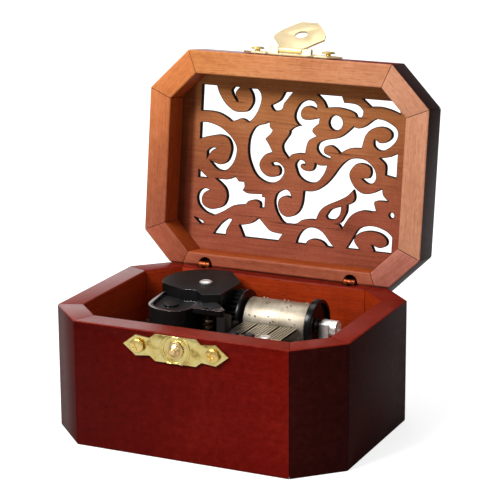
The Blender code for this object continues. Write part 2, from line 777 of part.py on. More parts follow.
def build_hinge(case, lid, side, x):
    """One concealed barrel hinge: a fork in the base, a tongue in the lid and a pin through both."""
    inner = TONGUE_WIDTH / 2 + PIN_FIT
    outer = inner + EAR_WIDTH
    base_half = case.add(side + "_hinge_base_half", barrel(x, -1), "brass")
    for end, low in (("left", -outer), ("right", inner)):
        ear = hinge_eye(x + low, x + low + EAR_WIDTH, -1)
        weld(base_half, case.add(f"{side}_hinge_{end}_ear_blank", ear))
    lid_half = lid.add(side + "_hinge_lid_half", barrel(x, 1), "brass")
    tongue = hinge_eye(x - TONGUE_WIDTH / 2, x + TONGUE_WIDTH / 2, 1)
    weld(lid_half, lid.add(side + "_hinge_tongue_blank", tongue))
    place = (x, HINGE_Y, HINGE_Z)
    for body, half in ((case, base_half), (lid, lid_half)):
        bore = rod(HINGE_PIN_RADIUS + PIN_FIT, -outer - 1, outer + 1, place, "X", 16)
        cut(half, body.add(half.name + "_bore_cutter", bore))
    case.add(side + "_hinge_pin", rod(HINGE_PIN_RADIUS, -outer, outer, place, "X", 16), "steel")


def latch_outline():
    """The pointed latch plate with its taller middle block, about its own centre."""
    right = [(x, -z) for x, z in reversed(LATCH_CORNERS)] + list(LATCH_CORNERS[1:])
    left = [(-x, -z) for x, z in right]
    return right + left


def latch_plate(z_centre):
    """A thin plate on the front face."""
    outline = [(LATCH_X + x, z_centre + z) for x, z in latch_outline()]
    front = -HALF_WIDTH - SEAT_GAP
    return prism(outline, front - PLATE_THICKNESS, front, "Y")


def front_place(x, z_centre):
    """A point on the front face of the case."""
    return (LATCH_X + x, -HALF_WIDTH, z_centre)


def pilot_holes(z_centre):
    """The holes in the wood for a plate's two screws."""
    holes = []
    for x in (-SCREW_OFFSET, SCREW_OFFSET):
        radius = SCREW_SHANK_RADIUS + PIN_FIT
        holes.append(rod(radius, -SCREW_LENGTH - SEAT_GAP, 1.0, front_place(x, z_centre), "-Y", 12))
    return merged(*holes)


def plate_screw(x, z_centre):
    """A countersunk cross-head screw that stands a little proud of its plate."""
    seat = SEAT_GAP + PLATE_THICKNESS + 0.1
    profile = [
        (0, -SCREW_LENGTH),
        (SCREW_SHANK_RADIUS, -SCREW_LENGTH + 1.5),
        (SCREW_SHANK_RADIUS, seat),
        (SCREW_HEAD_RADIUS, seat + 1.0),
        (SCREW_HEAD_RADIUS, seat + 1.25),
        (SCREW_HEAD_RADIUS * 0.7, seat + 1.5),
        (0, seat + 1.6),
    ]
    return lathe(profile, front_place(x, z_centre), "-Y", 14)


def cross_recess(x, z_centre):
    """The cross in a screw's head."""
    arm = SCREW_HEAD_RADIUS * 0.62
    half = 0.3
    seat = SEAT_GAP + PLATE_THICKNESS
    outline = [
        (-arm, -half), (-half, -half), (-half, -arm), (half, -arm), (half, -half), (arm, -half),
        (arm, half), (half, half), (half, arm), (-half, arm), (-half, half), (-arm, half),
    ]
    depth_low = -HALF_WIDTH - seat - 1.1
    return moved(prism(outline, depth_low - 2.0, depth_low, "Y"), LATCH_X + x, 0.0, z_centre)


def build_plate_screws(body, name, z_centre):
    """The two screws of one plate."""
    for side, x in (("left", -SCREW_OFFSET), ("right", SCREW_OFFSET)):
        screw = body.add(f"{name}_{side}_screw", plate_screw(x, z_centre), "gilt_steel")
        cut(screw, body.add(f"{name}_{side}_cross_cutter", cross_recess(x, z_centre)))


def screw_clearance(z_centre):
    """The plate's own screw holes."""
    high = SEAT_GAP + PLATE_THICKNESS + 1.0
    radius = SCREW_SHANK_RADIUS + PIN_FIT
    holes = []
    for x in (-SCREW_OFFSET, SCREW_OFFSET):
        holes.append(rod(radius, -1.0, high, front_place(x, z_centre), "-Y", 12))
    return merged(*holes)


def build_strike(case):
    """The lower plate with its stepped ring, the stud and two screws."""
    plate = case.add("strike_plate", latch_plate(STRIKE_Z), "brass")
    face = SEAT_GAP + PLATE_THICKNESS
    ring_profile = [
        (RING_RADIUS - 1.4, face - 0.3),
        (RING_RADIUS, face - 0.3),
        (RING_RADIUS, face + 0.3),
        (RING_RADIUS - 0.2, face + 0.5),
        (RING_RADIUS - 0.5, face + 0.5),
        (RING_RADIUS - 0.8, face + 0.2),
        (RING_RADIUS - 1.1, face + 0.35),
        (RING_RADIUS - 1.4, face + 0.35),
    ]
    ring = case.add("strike_ring_blank", lathe(ring_profile, front_place(0, STRIKE_Z), "-Y", 24, closed=True))
    outline = [(LATCH_X + x, STRIKE_Z + z) for x, z in latch_outline()]
    bounds = case.add("strike_ring_bounds", prism(outline, -HALF_WIDTH - 3.0, -HALF_WIDTH, "Y"))
    combine(ring, bounds, "INTERSECT")
    weld(plate, ring)
    rivet = STUD_RADIUS * 0.6
    stud_hole = rod(rivet + PIN_FIT, -1.0, face + 1.0, front_place(0, STRIKE_Z), "-Y", 12)
    cut(plate, case.add("strike_hole_cutter", merged(screw_clearance(STRIKE_Z), stud_hole)))
    stud_profile = [
        (0, SEAT_GAP),
        (rivet, SEAT_GAP),
        (rivet, face + SEAT_GAP),
        (STUD_FLANGE, face + SEAT_GAP),
        (STUD_FLANGE, face + SEAT_GAP + 0.2),
        (STUD_RADIUS + 0.1, face + SEAT_GAP + 0.4),
        (STUD_RADIUS, STUD_REACH - 0.6),
        (STUD_RADIUS * 0.7, STUD_REACH - 0.1),
        (0, STUD_REACH),
    ]
    case.add("strike_stud", lathe(stud_profile, front_place(0, STRIKE_Z), "-Y", 20), "brass")
    build_plate_screws(case, "strike", STRIKE_Z)


def build_hasp_plate(lid):
    """The upper plate with two hinge lugs, its pin and two screws."""
    plate = lid.add("hasp_plate", latch_plate(HASP_PLATE_Z), "brass")
    inner = HASP_KNUCKLE_LENGTH / 2 + PIN_FIT
    outer = inner + HASP_LUG_LENGTH
    foot = HASP_STAND_OFF - SEAT_GAP - PLATE_THICKNESS / 2
    outline = [(-v, u) for u, v in knuckle_outline(HASP_KNUCKLE, foot)]
    lugs = []
    for low, high in ((-outer, -inner), (inner, outer)):
        lugs.append(moved(prism(outline, LATCH_X + low, LATCH_X + high, "X"), 0.0, HASP_Y, HASP_Z))
    weld(plate, lid.add("hasp_lug_blank", merged(*lugs)))
    centre = (LATCH_X, HASP_Y, HASP_Z)
    bore = rod(HASP_PIN_RADIUS + PIN_FIT, -outer - 1, outer + 1, centre, "X", 16)
    cut(plate, lid.add("hasp_plate_cutter", merged(bore, screw_clearance(HASP_PLATE_Z))))
    lid.add("hasp_pin", rod(HASP_PIN_RADIUS, -outer, outer, centre, "X", 16), "steel")
    build_plate_screws(lid, "hasp", HASP_PLATE_Z)


def build_hasp_leaf(hasp):
    """The leaf that hangs from the pin and drops over the stud."""
    reach = HASP_KNUCKLE_LENGTH / 2 - PIN_FIT
    side = [(reach, 0.0)] + [(u, share * LEAF_LENGTH) for u, share in LEAF_SIDE]
    outline = [(LATCH_X + u, HASP_Z - v) for u, v in side + [(-u, v) for u, v in reversed(side)]]
    leaf = hasp.add(
        "hasp_leaf",
        prism(outline, HASP_Y - LEAF_THICKNESS / 2, HASP_Y + LEAF_THICKNESS / 2, "Y"),
        "brass",
    )
    centre = (LATCH_X, HASP_Y, HASP_Z)
    weld(leaf, hasp.add("hasp_knuckle_blank", rod(HASP_KNUCKLE, -reach, reach, centre, "X", 14)))
    bore = rod(HASP_PIN_RADIUS + PIN_FIT, -reach - 1, reach + 1, centre, "X", 16)
    hole = rod(LEAF_HOLE, -3.0, 3.0, (LATCH_X, HASP_Y, STRIKE_Z), "Y", 20)
    cut(leaf, hasp.add("hasp_leaf_cutter", merged(bore, hole)))


def bed_screw_places():
    """The three places where the bedplate is bolted to the floor."""
    return (
        (BED_LEFT + BED_SCREW_INSET, BED_FRONT + BED_SCREW_INSET),
        (BED_RIGHT - BED_SCREW_INSET, BED_FRONT + BED_SCREW_INSET),
        (BED_RIGHT - BED_SCREW_INSET, BED_BACK - BED_SCREW_INSET),
    )


def build_bedplate(case):
    """The cast frame, with a round recess for the drive wheel."""
    c = BED_CORNER
    outline = [
        (BED_LEFT + c, BED_FRONT), (BED_RIGHT - c, BED_FRONT), (BED_RIGHT, BED_FRONT + c),
        (BED_RIGHT, BED_BACK - c), (BED_RIGHT - c, BED_BACK), (BED_LEFT + c, BED_BACK),
        (BED_LEFT, BED_BACK - c), (BED_LEFT, BED_FRONT + c),
    ]
    bed = case.add("bedplate", prism(outline, BED_BOTTOM, BED_TOP), "cast_zinc")
    middle = (ARBOR_X, ARBOR_Y, 0.0)
    well = rod(DRIVE_OUTER + 2 * RUN_GAP, BED_BOTTOM + BED_THICKNESS / 2, BED_TOP + 1, middle, steps=36)
    holes = [rod(ARBOR_RADIUS + RUN_GAP, BED_BOTTOM - 1, BED_TOP, middle, steps=16)]
    step_bearing = (WORM_X, WORM_Y, 0.0)
    holes.append(rod(SPINDLE_RADIUS + RUN_GAP, BED_BOTTOM + 0.5, BED_TOP + 1, step_bearing, steps=16))
    for x, y in bed_screw_places():
        holes.append(rod(BED_SCREW_RADIUS + PIN_FIT, BED_BOTTOM - 1, BED_TOP + 1, (x, y, 0.0), steps=16))
    cut(bed, case.add("bed_well_cutter", well), case.add("bed_hole_cutter", merged(*holes)))
    for number, (x, y) in enumerate(bed_screw_places(), 1):
        profile = [
            (0, KEY_ROOM - SEAT_GAP - 1.4),
            (BED_SCREW_RADIUS * 2, KEY_ROOM - SEAT_GAP - 1.2),
            (BED_SCREW_RADIUS * 2, KEY_ROOM - SEAT_GAP),
            (BED_SCREW_RADIUS, KEY_ROOM - SEAT_GAP),
            (BED_SCREW_RADIUS, BED_TOP),
            (0, BED_TOP),
        ]
        case.add(f"movement_screw_{number}", lathe(profile, (x, y, 0.0), steps=16), "steel")


def from_arbor(places):
    """Places that are drawn from the winding arbor, in the case's frame."""
    return [(ARBOR_X + x, ARBOR_Y + y) for x, y in places]


def housing_outline():
    """The tall part of the spring housing: a round drum with a flat towards the gear and a front nose."""
    drum = arc((ARBOR_X, ARBOR_Y), HOUSING_RADIUS, 76, 212, 14)
    gear_side = GEAR_LEFT - 2 * RUN_GAP
    flat = [(gear_side, ARBOR_Y + NOSE_RIGHT), (gear_side, ARBOR_Y + FLAT_BACK)]
    return drum + from_arbor(DRUM_FRONT) + flat


def lobe_outline():
    """The lower lobe beside the drum and the arm that steadies the worm spindle."""
    side = from_arbor(LOBE_SIDE)
    front = WORM_Y - 1.5
    arm = [
        side[-1],
        (side[-1][0] + 0.4, front),
        (ARM_END - 0.6, front),
        (ARM_END, WORM_Y + 0.6),
        (ARM_END - 3.2, WORM_Y + 4.5),
    ]
    return smooth_run(side) + arm + from_arbor([(10.6, -13.0), (4.1, -9.3), (-4.9, -7.3), (-9.9, -5.3)])


def recess_outline():
    """The shallow recess in the lobe's top, which ends at the drum's front wall."""
    middle = Vector(from_arbor([LOBE_PLACE])[0])
    rim = []
    for point in smooth_run(from_arbor(LOBE_SIDE)):
        rim.append(tuple(point + (middle - point).normalized() * LOBE_RIM))
    return rim + from_arbor([(4.2, -22.0), (4.0, -11.2), (-4.9, -7.3)])


def build_housing(case):
    """The moulded housing over the mainspring, its feet, its screw and the spring inside."""
    skirt = BED_TOP + SEAT_GAP
    under = skirt + HOUSING_SKIRT
    arbor = (ARBOR_X, ARBOR_Y, 0.0)
    lobe_place = (*from_arbor([LOBE_PLACE])[0], 0.0)
    housing = case.add("spring_housing", prism(housing_outline(), under, HOUSING_TOP), "black_plastic")
    lobe = case.add("lobe_blank", prism(lobe_outline(), under, LOBE_TOP))
    arm_relief = block(
        (ARBOR_X + LOBE_SIDE[-1][0], ARM_END + 1.0),
        (WORM_Y - 4.0, WORM_Y + 6.2),
        (under - 1.0, ARM_LOW),
    )
    recess = prism(recess_outline(), LOBE_TOP - LOBE_RECESS, LOBE_TOP + 1.0)
    cut(lobe, case.add("arm_relief_cutter", arm_relief), case.add("lobe_recess_cutter", recess))
    weld(housing, lobe)
    posts = []
    webs = []
    for angle in HOUSING_FOOT_ANGLES:
        direction = Vector((math.cos(math.radians(angle)), math.sin(math.radians(angle))))
        place = Vector((ARBOR_X, ARBOR_Y)) + direction * (DRIVE_OUTER + 3.2)
        posts.append(rod(2.4, skirt, under + 4.0, (place.x, place.y, 0.0), steps=16))
        side = Vector((-direction.y, direction.x)) * 2.0
        root = Vector((ARBOR_X, ARBOR_Y)) + direction * (HOUSING_RADIUS - 1.5)
        web = [tuple(root - side), tuple(place - side), tuple(place + side), tuple(root + side)]
        webs.append(prism(web, under, under + 3.5))
    pillar = case.add("lobe_pillar_blank", rod(3.6, skirt, under + 4.0, lobe_place, steps=16))
    webs = case.add("foot_web_blank", merged(*webs))
    posts = case.add("foot_post_blank", merged(*posts))
    weld(housing, webs, posts, pillar)

    room = rod(SPRING_ROOM, under - 1.0, HOUSING_TOP - HOUSING_ROOF, arbor, steps=28)
    wheel_slot = block(
        (WORM_X - WHEEL_WIDTH / 2 - 2 * RUN_GAP, 0.0),
        (WORM_Y, GOVERNOR_Y + WHEEL_RADIUS + 1.0),
        (under - 1.0, AXLE_Z + WHEEL_RADIUS + THREAD_DEPTH * 0.4 + RUN_GAP),
    )
    screw_place = (*from_arbor([HOUSING_SCREW_PLACE])[0], 0.0)
    screw_hole = HOUSING_SCREW_RADIUS + PIN_FIT
    bores = [
        rod(AXLE_RADIUS + RUN_GAP, ARBOR_X + 2.0, 0.0, (0.0, CYLINDER_Y, AXLE_Z), "X", 16),
        rod(AXLE_RADIUS + RUN_GAP, WORM_X - 4.4, 0.0, (0.0, GOVERNOR_Y, AXLE_Z), "X", 16),
        rod(SPINDLE_RADIUS + RUN_GAP, ARM_LOW - 1.2, LOBE_TOP + 1.0, (WORM_X, WORM_Y, 0.0), steps=16),
        rod(screw_hole, HOUSING_TOP - HOUSING_ROOF - 0.5, HOUSING_TOP + 1.0, screw_place, steps=16),
    ]
    cut(housing, case.add("spring_room_cutter", room), case.add("wheel_slot_cutter", wheel_slot))
    cut(housing, case.add("housing_bore_cutter", merged(*bores)))
    boss_low = LOBE_TOP - LOBE_RECESS - SEAT_GAP
    boss = rod(LOBE_BOSS_RADIUS, boss_low, boss_low + 1.1, lobe_place, steps=16)
    weld(housing, case.add("lobe_boss_blank", boss))

    shank_low = HOUSING_TOP - HOUSING_ROOF + SEAT_GAP
    head_low = HOUSING_TOP + SEAT_GAP
    screw_profile = [
        (0, shank_low),
        (HOUSING_SCREW_RADIUS, shank_low),
        (HOUSING_SCREW_RADIUS, head_low),
        (2.2, head_low),
        (2.2, head_low + 0.5),
        (1.5, head_low + 0.9),
        (0, head_low + 1.0),
    ]
    case.add("housing_screw", lathe(screw_profile, screw_place, steps=16), "nickel")
    build_mainspring(case, under)


def build_mainspring(case, under):
    """The wound spring: one strip in a flat spiral round the arbor."""
    inner = ARBOR_RADIUS + 2.0
    outer = SPRING_ROOM - RUN_GAP - SPRING_STRIP
    steps = 14 * SPRING_TURNS
    inside = []
    outside = []
    for step in range(steps + 1):
        share = step / steps
        angle = 2 * math.pi * SPRING_TURNS * share
        radius = inner + (outer - inner) * share
        inside.append((radius * math.cos(angle), radius * math.sin(angle)))
        outside.append(((radius + SPRING_STRIP) * math.cos(angle), (radius + SPRING_STRIP) * math.sin(angle)))
    strip = prism(outside + inside[::-1], under + 1.0, HOUSING_TOP - HOUSING_ROOF - 1.0)
    case.add("mainspring", moved(strip, ARBOR_X, ARBOR_Y), "spring_steel")


def gear_outline(teeth, tip, root, share=TOOTH_SHARE, phase=0.0):
    """Straight-flanked teeth; share is the part of the pitch that a tooth takes at its foot."""
    pitch = 360.0 / teeth
    outline = []
    for tooth in range(teeth):
        middle = phase + tooth * pitch
        for radius, offset in ((root, -0.5), (tip, -0.22), (tip, 0.22), (root, 0.5)):
            angle = math.radians(middle + offset * share * 2 * pitch * 0.62)
            outline.append((radius * math.cos(angle), radius * math.sin(angle)))
    return outline


def build_cylinder(cylinder):
    """The pinned cylinder, its gear, the end disc and the axle that carries them."""
    axle_place = (0.0, CYLINDER_Y, AXLE_Z)
    bore = AXLE_RADIUS + SEAT_GAP
    barrel_profile = [
        (bore, CYLINDER_LEFT),
        (CYLINDER_RADIUS - 0.4, CYLINDER_LEFT),
        (CYLINDER_RADIUS, CYLINDER_LEFT + 0.3),
        (CYLINDER_RADIUS, CYLINDER_RIGHT - 0.3),
        (CYLINDER_RADIUS - 0.4, CYLINDER_RIGHT),
        (bore, CYLINDER_RIGHT),
    ]
    drum = cylinder.add("cylinder", lathe(barrel_profile, axle_place, "X", 32, closed=True), "nickel")
    pins = []
    for note, x in enumerate(note_places()):
        for beat in range(2 + note % 2):
            angle = note * 137.5 + beat * (97.0 + 11.0 * (note % 3))
            pin = rod(PIN_RADIUS, CYLINDER_RADIUS - 0.4, CYLINDER_RADIUS + PIN_RISE, steps=4)
            turn = Matrix.Rotation(math.radians(angle), 3, "X")
            bmesh.ops.rotate(pin, verts=pin.verts, cent=(0, 0, 0), matrix=turn)
            pins.append(moved(pin, x, CYLINDER_Y, AXLE_Z))
    weld(drum, cylinder.add("cylinder_pin_blank", merged(*pins)))

    gear = prism(gear_outline(CYLINDER_TEETH, GEAR_TIP, GEAR_ROOT), GEAR_LEFT, GEAR_LEFT + GEAR_WIDTH, "X")
    gear = cylinder.add("cylinder_gear", moved(gear, 0.0, CYLINDER_Y, AXLE_Z), "black_plastic")
    flange_left = GEAR_LEFT + GEAR_WIDTH - 0.2
    flange = rod(FLANGE_RADIUS, flange_left, flange_left + FLANGE_WIDTH, axle_place, "X", 28)
    weld(gear, cylinder.add("gear_flange_blank", flange))
    cut(gear, cylinder.add("gear_bore_cutter", rod(bore, GEAR_LEFT - 1, 0.0, axle_place, "X", 16)))

    disc_profile = [
        (bore, DISC_LEFT),
        (END_DISC_RADIUS - 0.4, DISC_LEFT),
        (END_DISC_RADIUS, DISC_LEFT + 0.4),
        (END_DISC_RADIUS, DISC_RIGHT - 0.3),
        (END_DISC_RADIUS - 0.3, DISC_RIGHT),
        (END_DISC_RADIUS - 1.4, DISC_RIGHT),
        (END_DISC_RADIUS - 1.4, DISC_RIGHT - 1.2),
        (3.0, DISC_RIGHT - 1.2),
        (3.0, DISC_RIGHT - 0.2),
        (bore, DISC_RIGHT - 0.2),
    ]
    cylinder.add("end_disc", lathe(disc_profile, axle_place, "X", 28, closed=True), "black_plastic")
    arbor = rod(AXLE_RADIUS, GEAR_LEFT - 2.0, BOSS_RIGHT - 1.5, axle_place, "X", 16)
    cylinder.add("cylinder_arbor", arbor, "steel")


def note_places():
    """The middle of each comb tooth along X, in groups with wider gaps between them."""
    places = []
    x = COMB_LEFT + NOTE_PITCH / 2
    for notes in COMB_GROUPS:
        places += [x + NOTE_PITCH * note for note in range(notes)]
        x += NOTE_PITCH * notes + GROUP_GAP
    return places


def build_bracket(case):
    """The nickel bearing at the cylinder's right end: a boss on a bent strap."""
    axle_place = (0.0, CYLINDER_Y, AXLE_Z)
    bore = AXLE_RADIUS + RUN_GAP
    boss_profile = [
        (bore, BOSS_LEFT),
        (BOSS_RADIUS - 0.5, BOSS_LEFT),
        (BOSS_RADIUS, BOSS_LEFT + 0.5),
        (BOSS_RADIUS, BOSS_RIGHT - 0.2),
        (BOSS_RADIUS - 0.2, BOSS_RIGHT),
        (BOSS_RADIUS - 0.6, BOSS_RIGHT),
        (BOSS_RADIUS - 0.7, BOSS_RIGHT - 1.2),
        (bore, BOSS_RIGHT - 1.2),
    ]
    bracket = case.add("bearing_bracket", lathe(boss_profile, axle_place, "X", 20, closed=True), "nickel")
    left = BOSS_LEFT + 0.1
    front = CYLINDER_Y - BOSS_RADIUS - 0.6
    inside = front + STRAP_THICKNESS
    skirt = BED_TOP + SEAT_GAP
    strap_outline = [
        (front, skirt),
        (front + STRAP_DEPTH, skirt),
        (front + STRAP_DEPTH, skirt + STRAP_THICKNESS),
        (inside, skirt + STRAP_THICKNESS),
        (inside, AXLE_Z + 1.6),
        (inside - 0.6, AXLE_Z + 2.2),
        (front, AXLE_Z + 1.8),
    ]
    weld(bracket, case.add("bracket_strap_blank", prism(strap_outline, left, left + STRAP_WIDTH, "X")))


def build_comb(case):
    """The steel comb, its base and three screws."""
    low = AXLE_Z + COMB_RISE - COMB_THICKNESS / 2
    half = (NOTE_PITCH - TOOTH_SLOT) / 2
    places = note_places()
    left = places[0] - half - COMB_MARGIN
    right = places[-1] + half + COMB_MARGIN
    outline = [(right, COMB_BACK), (right, COMB_ROOT)]
    for x in reversed(places):
        outline += [(x + half, COMB_ROOT), (x + half, COMB_TIP), (x - half, COMB_TIP), (x - half, COMB_ROOT)]
    outline += [(left, COMB_ROOT), (left, COMB_BACK)]
    comb = case.add("comb", prism(outline, low, low + COMB_THICKNESS), "steel")
    base_outline = [
        (COMB_BACK - 2.0, BED_TOP + SEAT_GAP),
        (COMB_ROOT - 3.0, BED_TOP + SEAT_GAP),
        (COMB_ROOT - 0.2, low - SEAT_GAP - 2.0),
        (COMB_ROOT - 0.2, low - SEAT_GAP),
        (COMB_BACK - 1.0, low - SEAT_GAP),
    ]
    base = case.add("comb_base", prism(base_outline, left, right, "X"), "cast_zinc")
    row = COMB_ROOT - COMB_SCREW_ROW
    screw_xs = [left + (right - left) * share for share in COMB_SCREW_SHARES]
    hole_radius = COMB_SCREW_RADIUS + PIN_FIT
    holes = [rod(hole_radius, low - 5.0, low + 2.0, (x, row, 0.0), steps=12) for x in screw_xs]
    cutter = case.add("comb_hole_cutter", merged(*holes))
    cut(comb, cutter)
    cut(base, cutter)
    seat = low + COMB_THICKNESS + SEAT_GAP
    profile = [
        (0, low - 4.5),
        (COMB_SCREW_RADIUS, low - 4.5),
        (COMB_SCREW_RADIUS, seat),
        (1.9, seat),
        (1.9, seat + 0.9),
        (1.5, seat + 1.2),
        (0, seat + 1.2),
    ]
    for number, x in enumerate(screw_xs, 1):
        case.add(f"comb_screw_{number}", lathe(profile, (x, row, 0.0), steps=16), "nickel")


def build_drive_wheel(drive):
    """The crown wheel below the spring: a disc with upright teeth and a sleeve round the arbor."""
    low = BED_BOTTOM + BED_THICKNESS / 2 + RUN_GAP
    root = AXLE_Z - GEAR_TIP - RUN_GAP
    tip = AXLE_Z - GEAR_PITCH + 0.7 * GEAR_MODULE
    bore = ARBOR_RADIUS + RUN_GAP
    profile = [
        (bore, low),
        (DRIVE_OUTER, low),
        (DRIVE_OUTER, root),
        (ARBOR_RADIUS + 1.4, root),
        (ARBOR_RADIUS + 1.4, root + 4.0),
        (bore, root + 4.0),
    ]
    place = (ARBOR_X, ARBOR_Y, 0.0)
    wheel = drive.add("drive_wheel", lathe(profile, place, steps=24, closed=True), "brass")
    teeth = []
    pitch = 2 * math.pi / DRIVE_TEETH
    for tooth in range(DRIVE_TEETH):
        middle = tooth * pitch
        solid = bmesh.new()
        corners = {}
        for level, height, share in ((0, root - 0.2, 0.5), (1, tip, 0.2)):
            for end, radius in ((0, DRIVE_INNER), (1, DRIVE_OUTER - 0.1)):
                for side in (-1, 1):
                    angle = middle + side * share * TOOTH_SHARE * pitch
                    spot = (radius * math.cos(angle), radius * math.sin(angle), height)
                    corners[level, end, side] = solid.verts.new(spot)
        bmesh.ops.convex_hull(solid, input=solid.verts)
        bmesh.ops.recalc_face_normals(solid, faces=solid.faces)
        teeth.append(solid)
    weld(wheel, drive.add("drive_teeth_blank", moved(merged(*teeth), *place)))


def build_governor(governor, case):
    """The brass worm wheel and its pinion on one axle, and the moulded post that carries the right end."""
    place = (0.0, GOVERNOR_Y, AXLE_Z)
    lead_slope = THREAD_PITCH * WORM_STARTS / (2 * math.pi * WORM_RADIUS)
    twist = math.degrees(lead_slope * WHEEL_WIDTH / WHEEL_RADIUS)
    tip = WHEEL_RADIUS + THREAD_DEPTH * 0.4
    rim = gear_outline(WHEEL_TEETH, tip, WHEEL_RADIUS - THREAD_DEPTH, 0.36, -twist / 2)
    left = WORM_X - WHEEL_WIDTH / 2
    wheel = moved(prism(rim, left, left + WHEEL_WIDTH, "X", twist), 0.0, GOVERNOR_Y, AXLE_Z)
    wheel = governor.add("governor_wheel", wheel, "brass")
    pinion_left = left + WHEEL_WIDTH + 0.4
    pinion_right = GEAR_LEFT + GEAR_WIDTH - 2 * RUN_GAP
    pitch = 360.0 / PINION_TEETH
    pinion = gear_outline(PINION_TEETH, PINION_TIP, PINION_ROOT, 0.36, pitch / 2)
    pinion = moved(prism(pinion, pinion_left, pinion_right, "X"), 0.0, GOVERNOR_Y, AXLE_Z)
    post_left = GEAR_LEFT + GEAR_WIDTH + FLANGE_WIDTH + SEAT_GAP
    post_right = post_left + POST_WIDTH
    axle = rod(AXLE_RADIUS, left - 1.8, post_right, place, "X", 12)
    weld(wheel, governor.add("pinion_blank", pinion), governor.add("governor_axle_blank", axle))

    skirt = BED_TOP + SEAT_GAP
    front = WORM_Y - POST_REACH
    high = ARM_LOW - SEAT_GAP - SEAT_GAP
    block_back = front + POST_BLOCK_DEPTH
    post_outline = [
        (front, skirt),
        (GOVERNOR_Y + 1.2, skirt),
        (GOVERNOR_Y + POST_EYE, AXLE_Z - 3.0),
        *arc((GOVERNOR_Y, AXLE_Z), POST_EYE, 0, 180, 8),
        (block_back, AXLE_Z + 1.0),
        (block_back, high),
        (front, high),
    ]
    post = case.add("governor_post", prism(post_outline, post_left, post_right, "X"), "black_plastic")
    post_block = block(
        (post_right - POST_BLOCK_WIDTH, post_right),
        (front, block_back),
        (BRAKE_LOW + BRAKE_HEIGHT + 2 * RUN_GAP, high),
    )
    weld(post, case.add("post_block_blank", post_block))
    bore = rod(AXLE_RADIUS + RUN_GAP, post_left - 1.0, post_right + 1.0, place, "X", 16)
    cut(post, case.add("post_bore_cutter", bore))


def worm_outline(phase):
    """The worm's section: a round core with one tooth for each start."""
    root = WORM_RADIUS - THREAD_DEPTH * 0.6
    tip = WORM_RADIUS + THREAD_DEPTH * 0.4
    outline = []
    for start in range(WORM_STARTS):
        middle = phase + start * 360.0 / WORM_STARTS
        for radius, offset in ((root, -50), (root, -26), (tip, -12), (tip, 12), (root, 26), (root, 50)):
            angle = math.radians(middle + offset)
            outline.append((radius * math.cos(angle), radius * math.sin(angle)))
    return outline


def build_fly(fly):
    """The upright worm spindle and the air brake that sets the speed."""
    lead = THREAD_PITCH * WORM_STARTS
    low = AXLE_Z - WORM_LENGTH / 2
    phase = -360.0 * (AXLE_Z - low) / lead
    steps = round(10 * WORM_LENGTH / lead)
    worm = prism(worm_outline(phase), low, low + WORM_LENGTH, "Z", 360.0 * WORM_LENGTH / lead, steps)
    spindle = fly.add("worm_spindle", moved(worm, WORM_X, WORM_Y), "steel")
    shaft = rod(SPINDLE_RADIUS, BED_BOTTOM + 0.8, LOBE_TOP - 0.4, (WORM_X, WORM_Y, 0.0), steps=16)
    weld(spindle, fly.add("spindle_shaft_blank", shaft))
    brake_high = BRAKE_LOW + BRAKE_HEIGHT
    place = (WORM_X, WORM_Y, 0.0)
    brake = fly.add("air_brake", rod(SPINDLE_RADIUS + 0.9, BRAKE_LOW, brake_high, place, steps=16), "steel")
    vane = block((-BRAKE_RADIUS, BRAKE_RADIUS), (-0.25, 0.25), (BRAKE_LOW, brake_high))
    weld(brake, fly.add("brake_vane_blank", moved(vane, WORM_X, WORM_Y)))
    bore = rod(SPINDLE_RADIUS + PIN_FIT, BRAKE_LOW - 1.0, brake_high + 1.0, place, steps=16)
    cut(brake, fly.add("brake_bore_cutter", bore))


def build_winder(winder):
    """The winding arbor through the floor and the butterfly key below it."""
    place = (ARBOR_X, ARBOR_Y, 0.0)
    hub_low = KEY_ROOM - KEY_HEIGHT + 4.5
    arbor = rod(ARBOR_RADIUS, hub_low - 2.5, HOUSING_TOP - HOUSING_ROOF - RUN_GAP, place, steps=20)
    winder.add("winding_arbor", arbor, "steel")
    low = KEY_ROOM - KEY_HEIGHT - 3.0
    half = KEY_SPAN / 2
    wing = arc((half - KEY_WING, low + KEY_WING), KEY_WING, -90, 90, 8)
    top = [(3.2, low + 7.6), (2.4, low + 6.4)]
    right = wing + top
    outline = right + [(-x, z) for x, z in reversed(right)]
    key = prism(outline, -KEY_THICKNESS / 2, KEY_THICKNESS / 2, "Y")
    key = winder.add("winding_key", moved(key, ARBOR_X, ARBOR_Y), "brass")
    hub = rod(ARBOR_RADIUS + 1.6, low + 3.0, KEY_ROOM - 1.2, place, steps=24)
    weld(key, winder.add("key_hub_blank", hub))
    eyes = []
    for x in (KEY_WING - half, half - KEY_WING):
        eyes.append(rod(2.2, -5.0, 5.0, (ARBOR_X + x, ARBOR_Y, low + KEY_WING), "Y", 12))
    socket = rod(ARBOR_RADIUS + SEAT_GAP, hub_low - 3.0, KEY_ROOM, place, steps=20)
    cut(key, winder.add("key_cutter", merged(*eyes, socket)))


def open_place(y, z):
    """Where a point of the shut lid lies once the lid is open."""
    angle = math.radians(-LID_OPEN_ANGLE)
    rise = z - HINGE_Z
    run = y - HINGE_Y
    return (
        HINGE_Y + run * math.cos(angle) - rise * math.sin(angle),
        HINGE_Z + run * math.sin(angle) + rise * math.cos(angle),
    )


def case_shift():
    """How far the case moves in Y so that the open box is centred over the origin."""
    front = -HALF_WIDTH - STUD_REACH
    swing = math.radians(-HASP_SWING)
    leaf_end = open_place(
        HASP_Y + LEAF_LENGTH * math.sin(swing) + LEAF_THICKNESS / 2 * math.cos(swing),
        HASP_Z - LEAF_LENGTH * math.cos(swing) + LEAF_THICKNESS / 2 * math.sin(swing),
    )
    return -(front + max(leaf_end[0], open_place(-HALF_WIDTH, LID_TOP)[0])) / 2


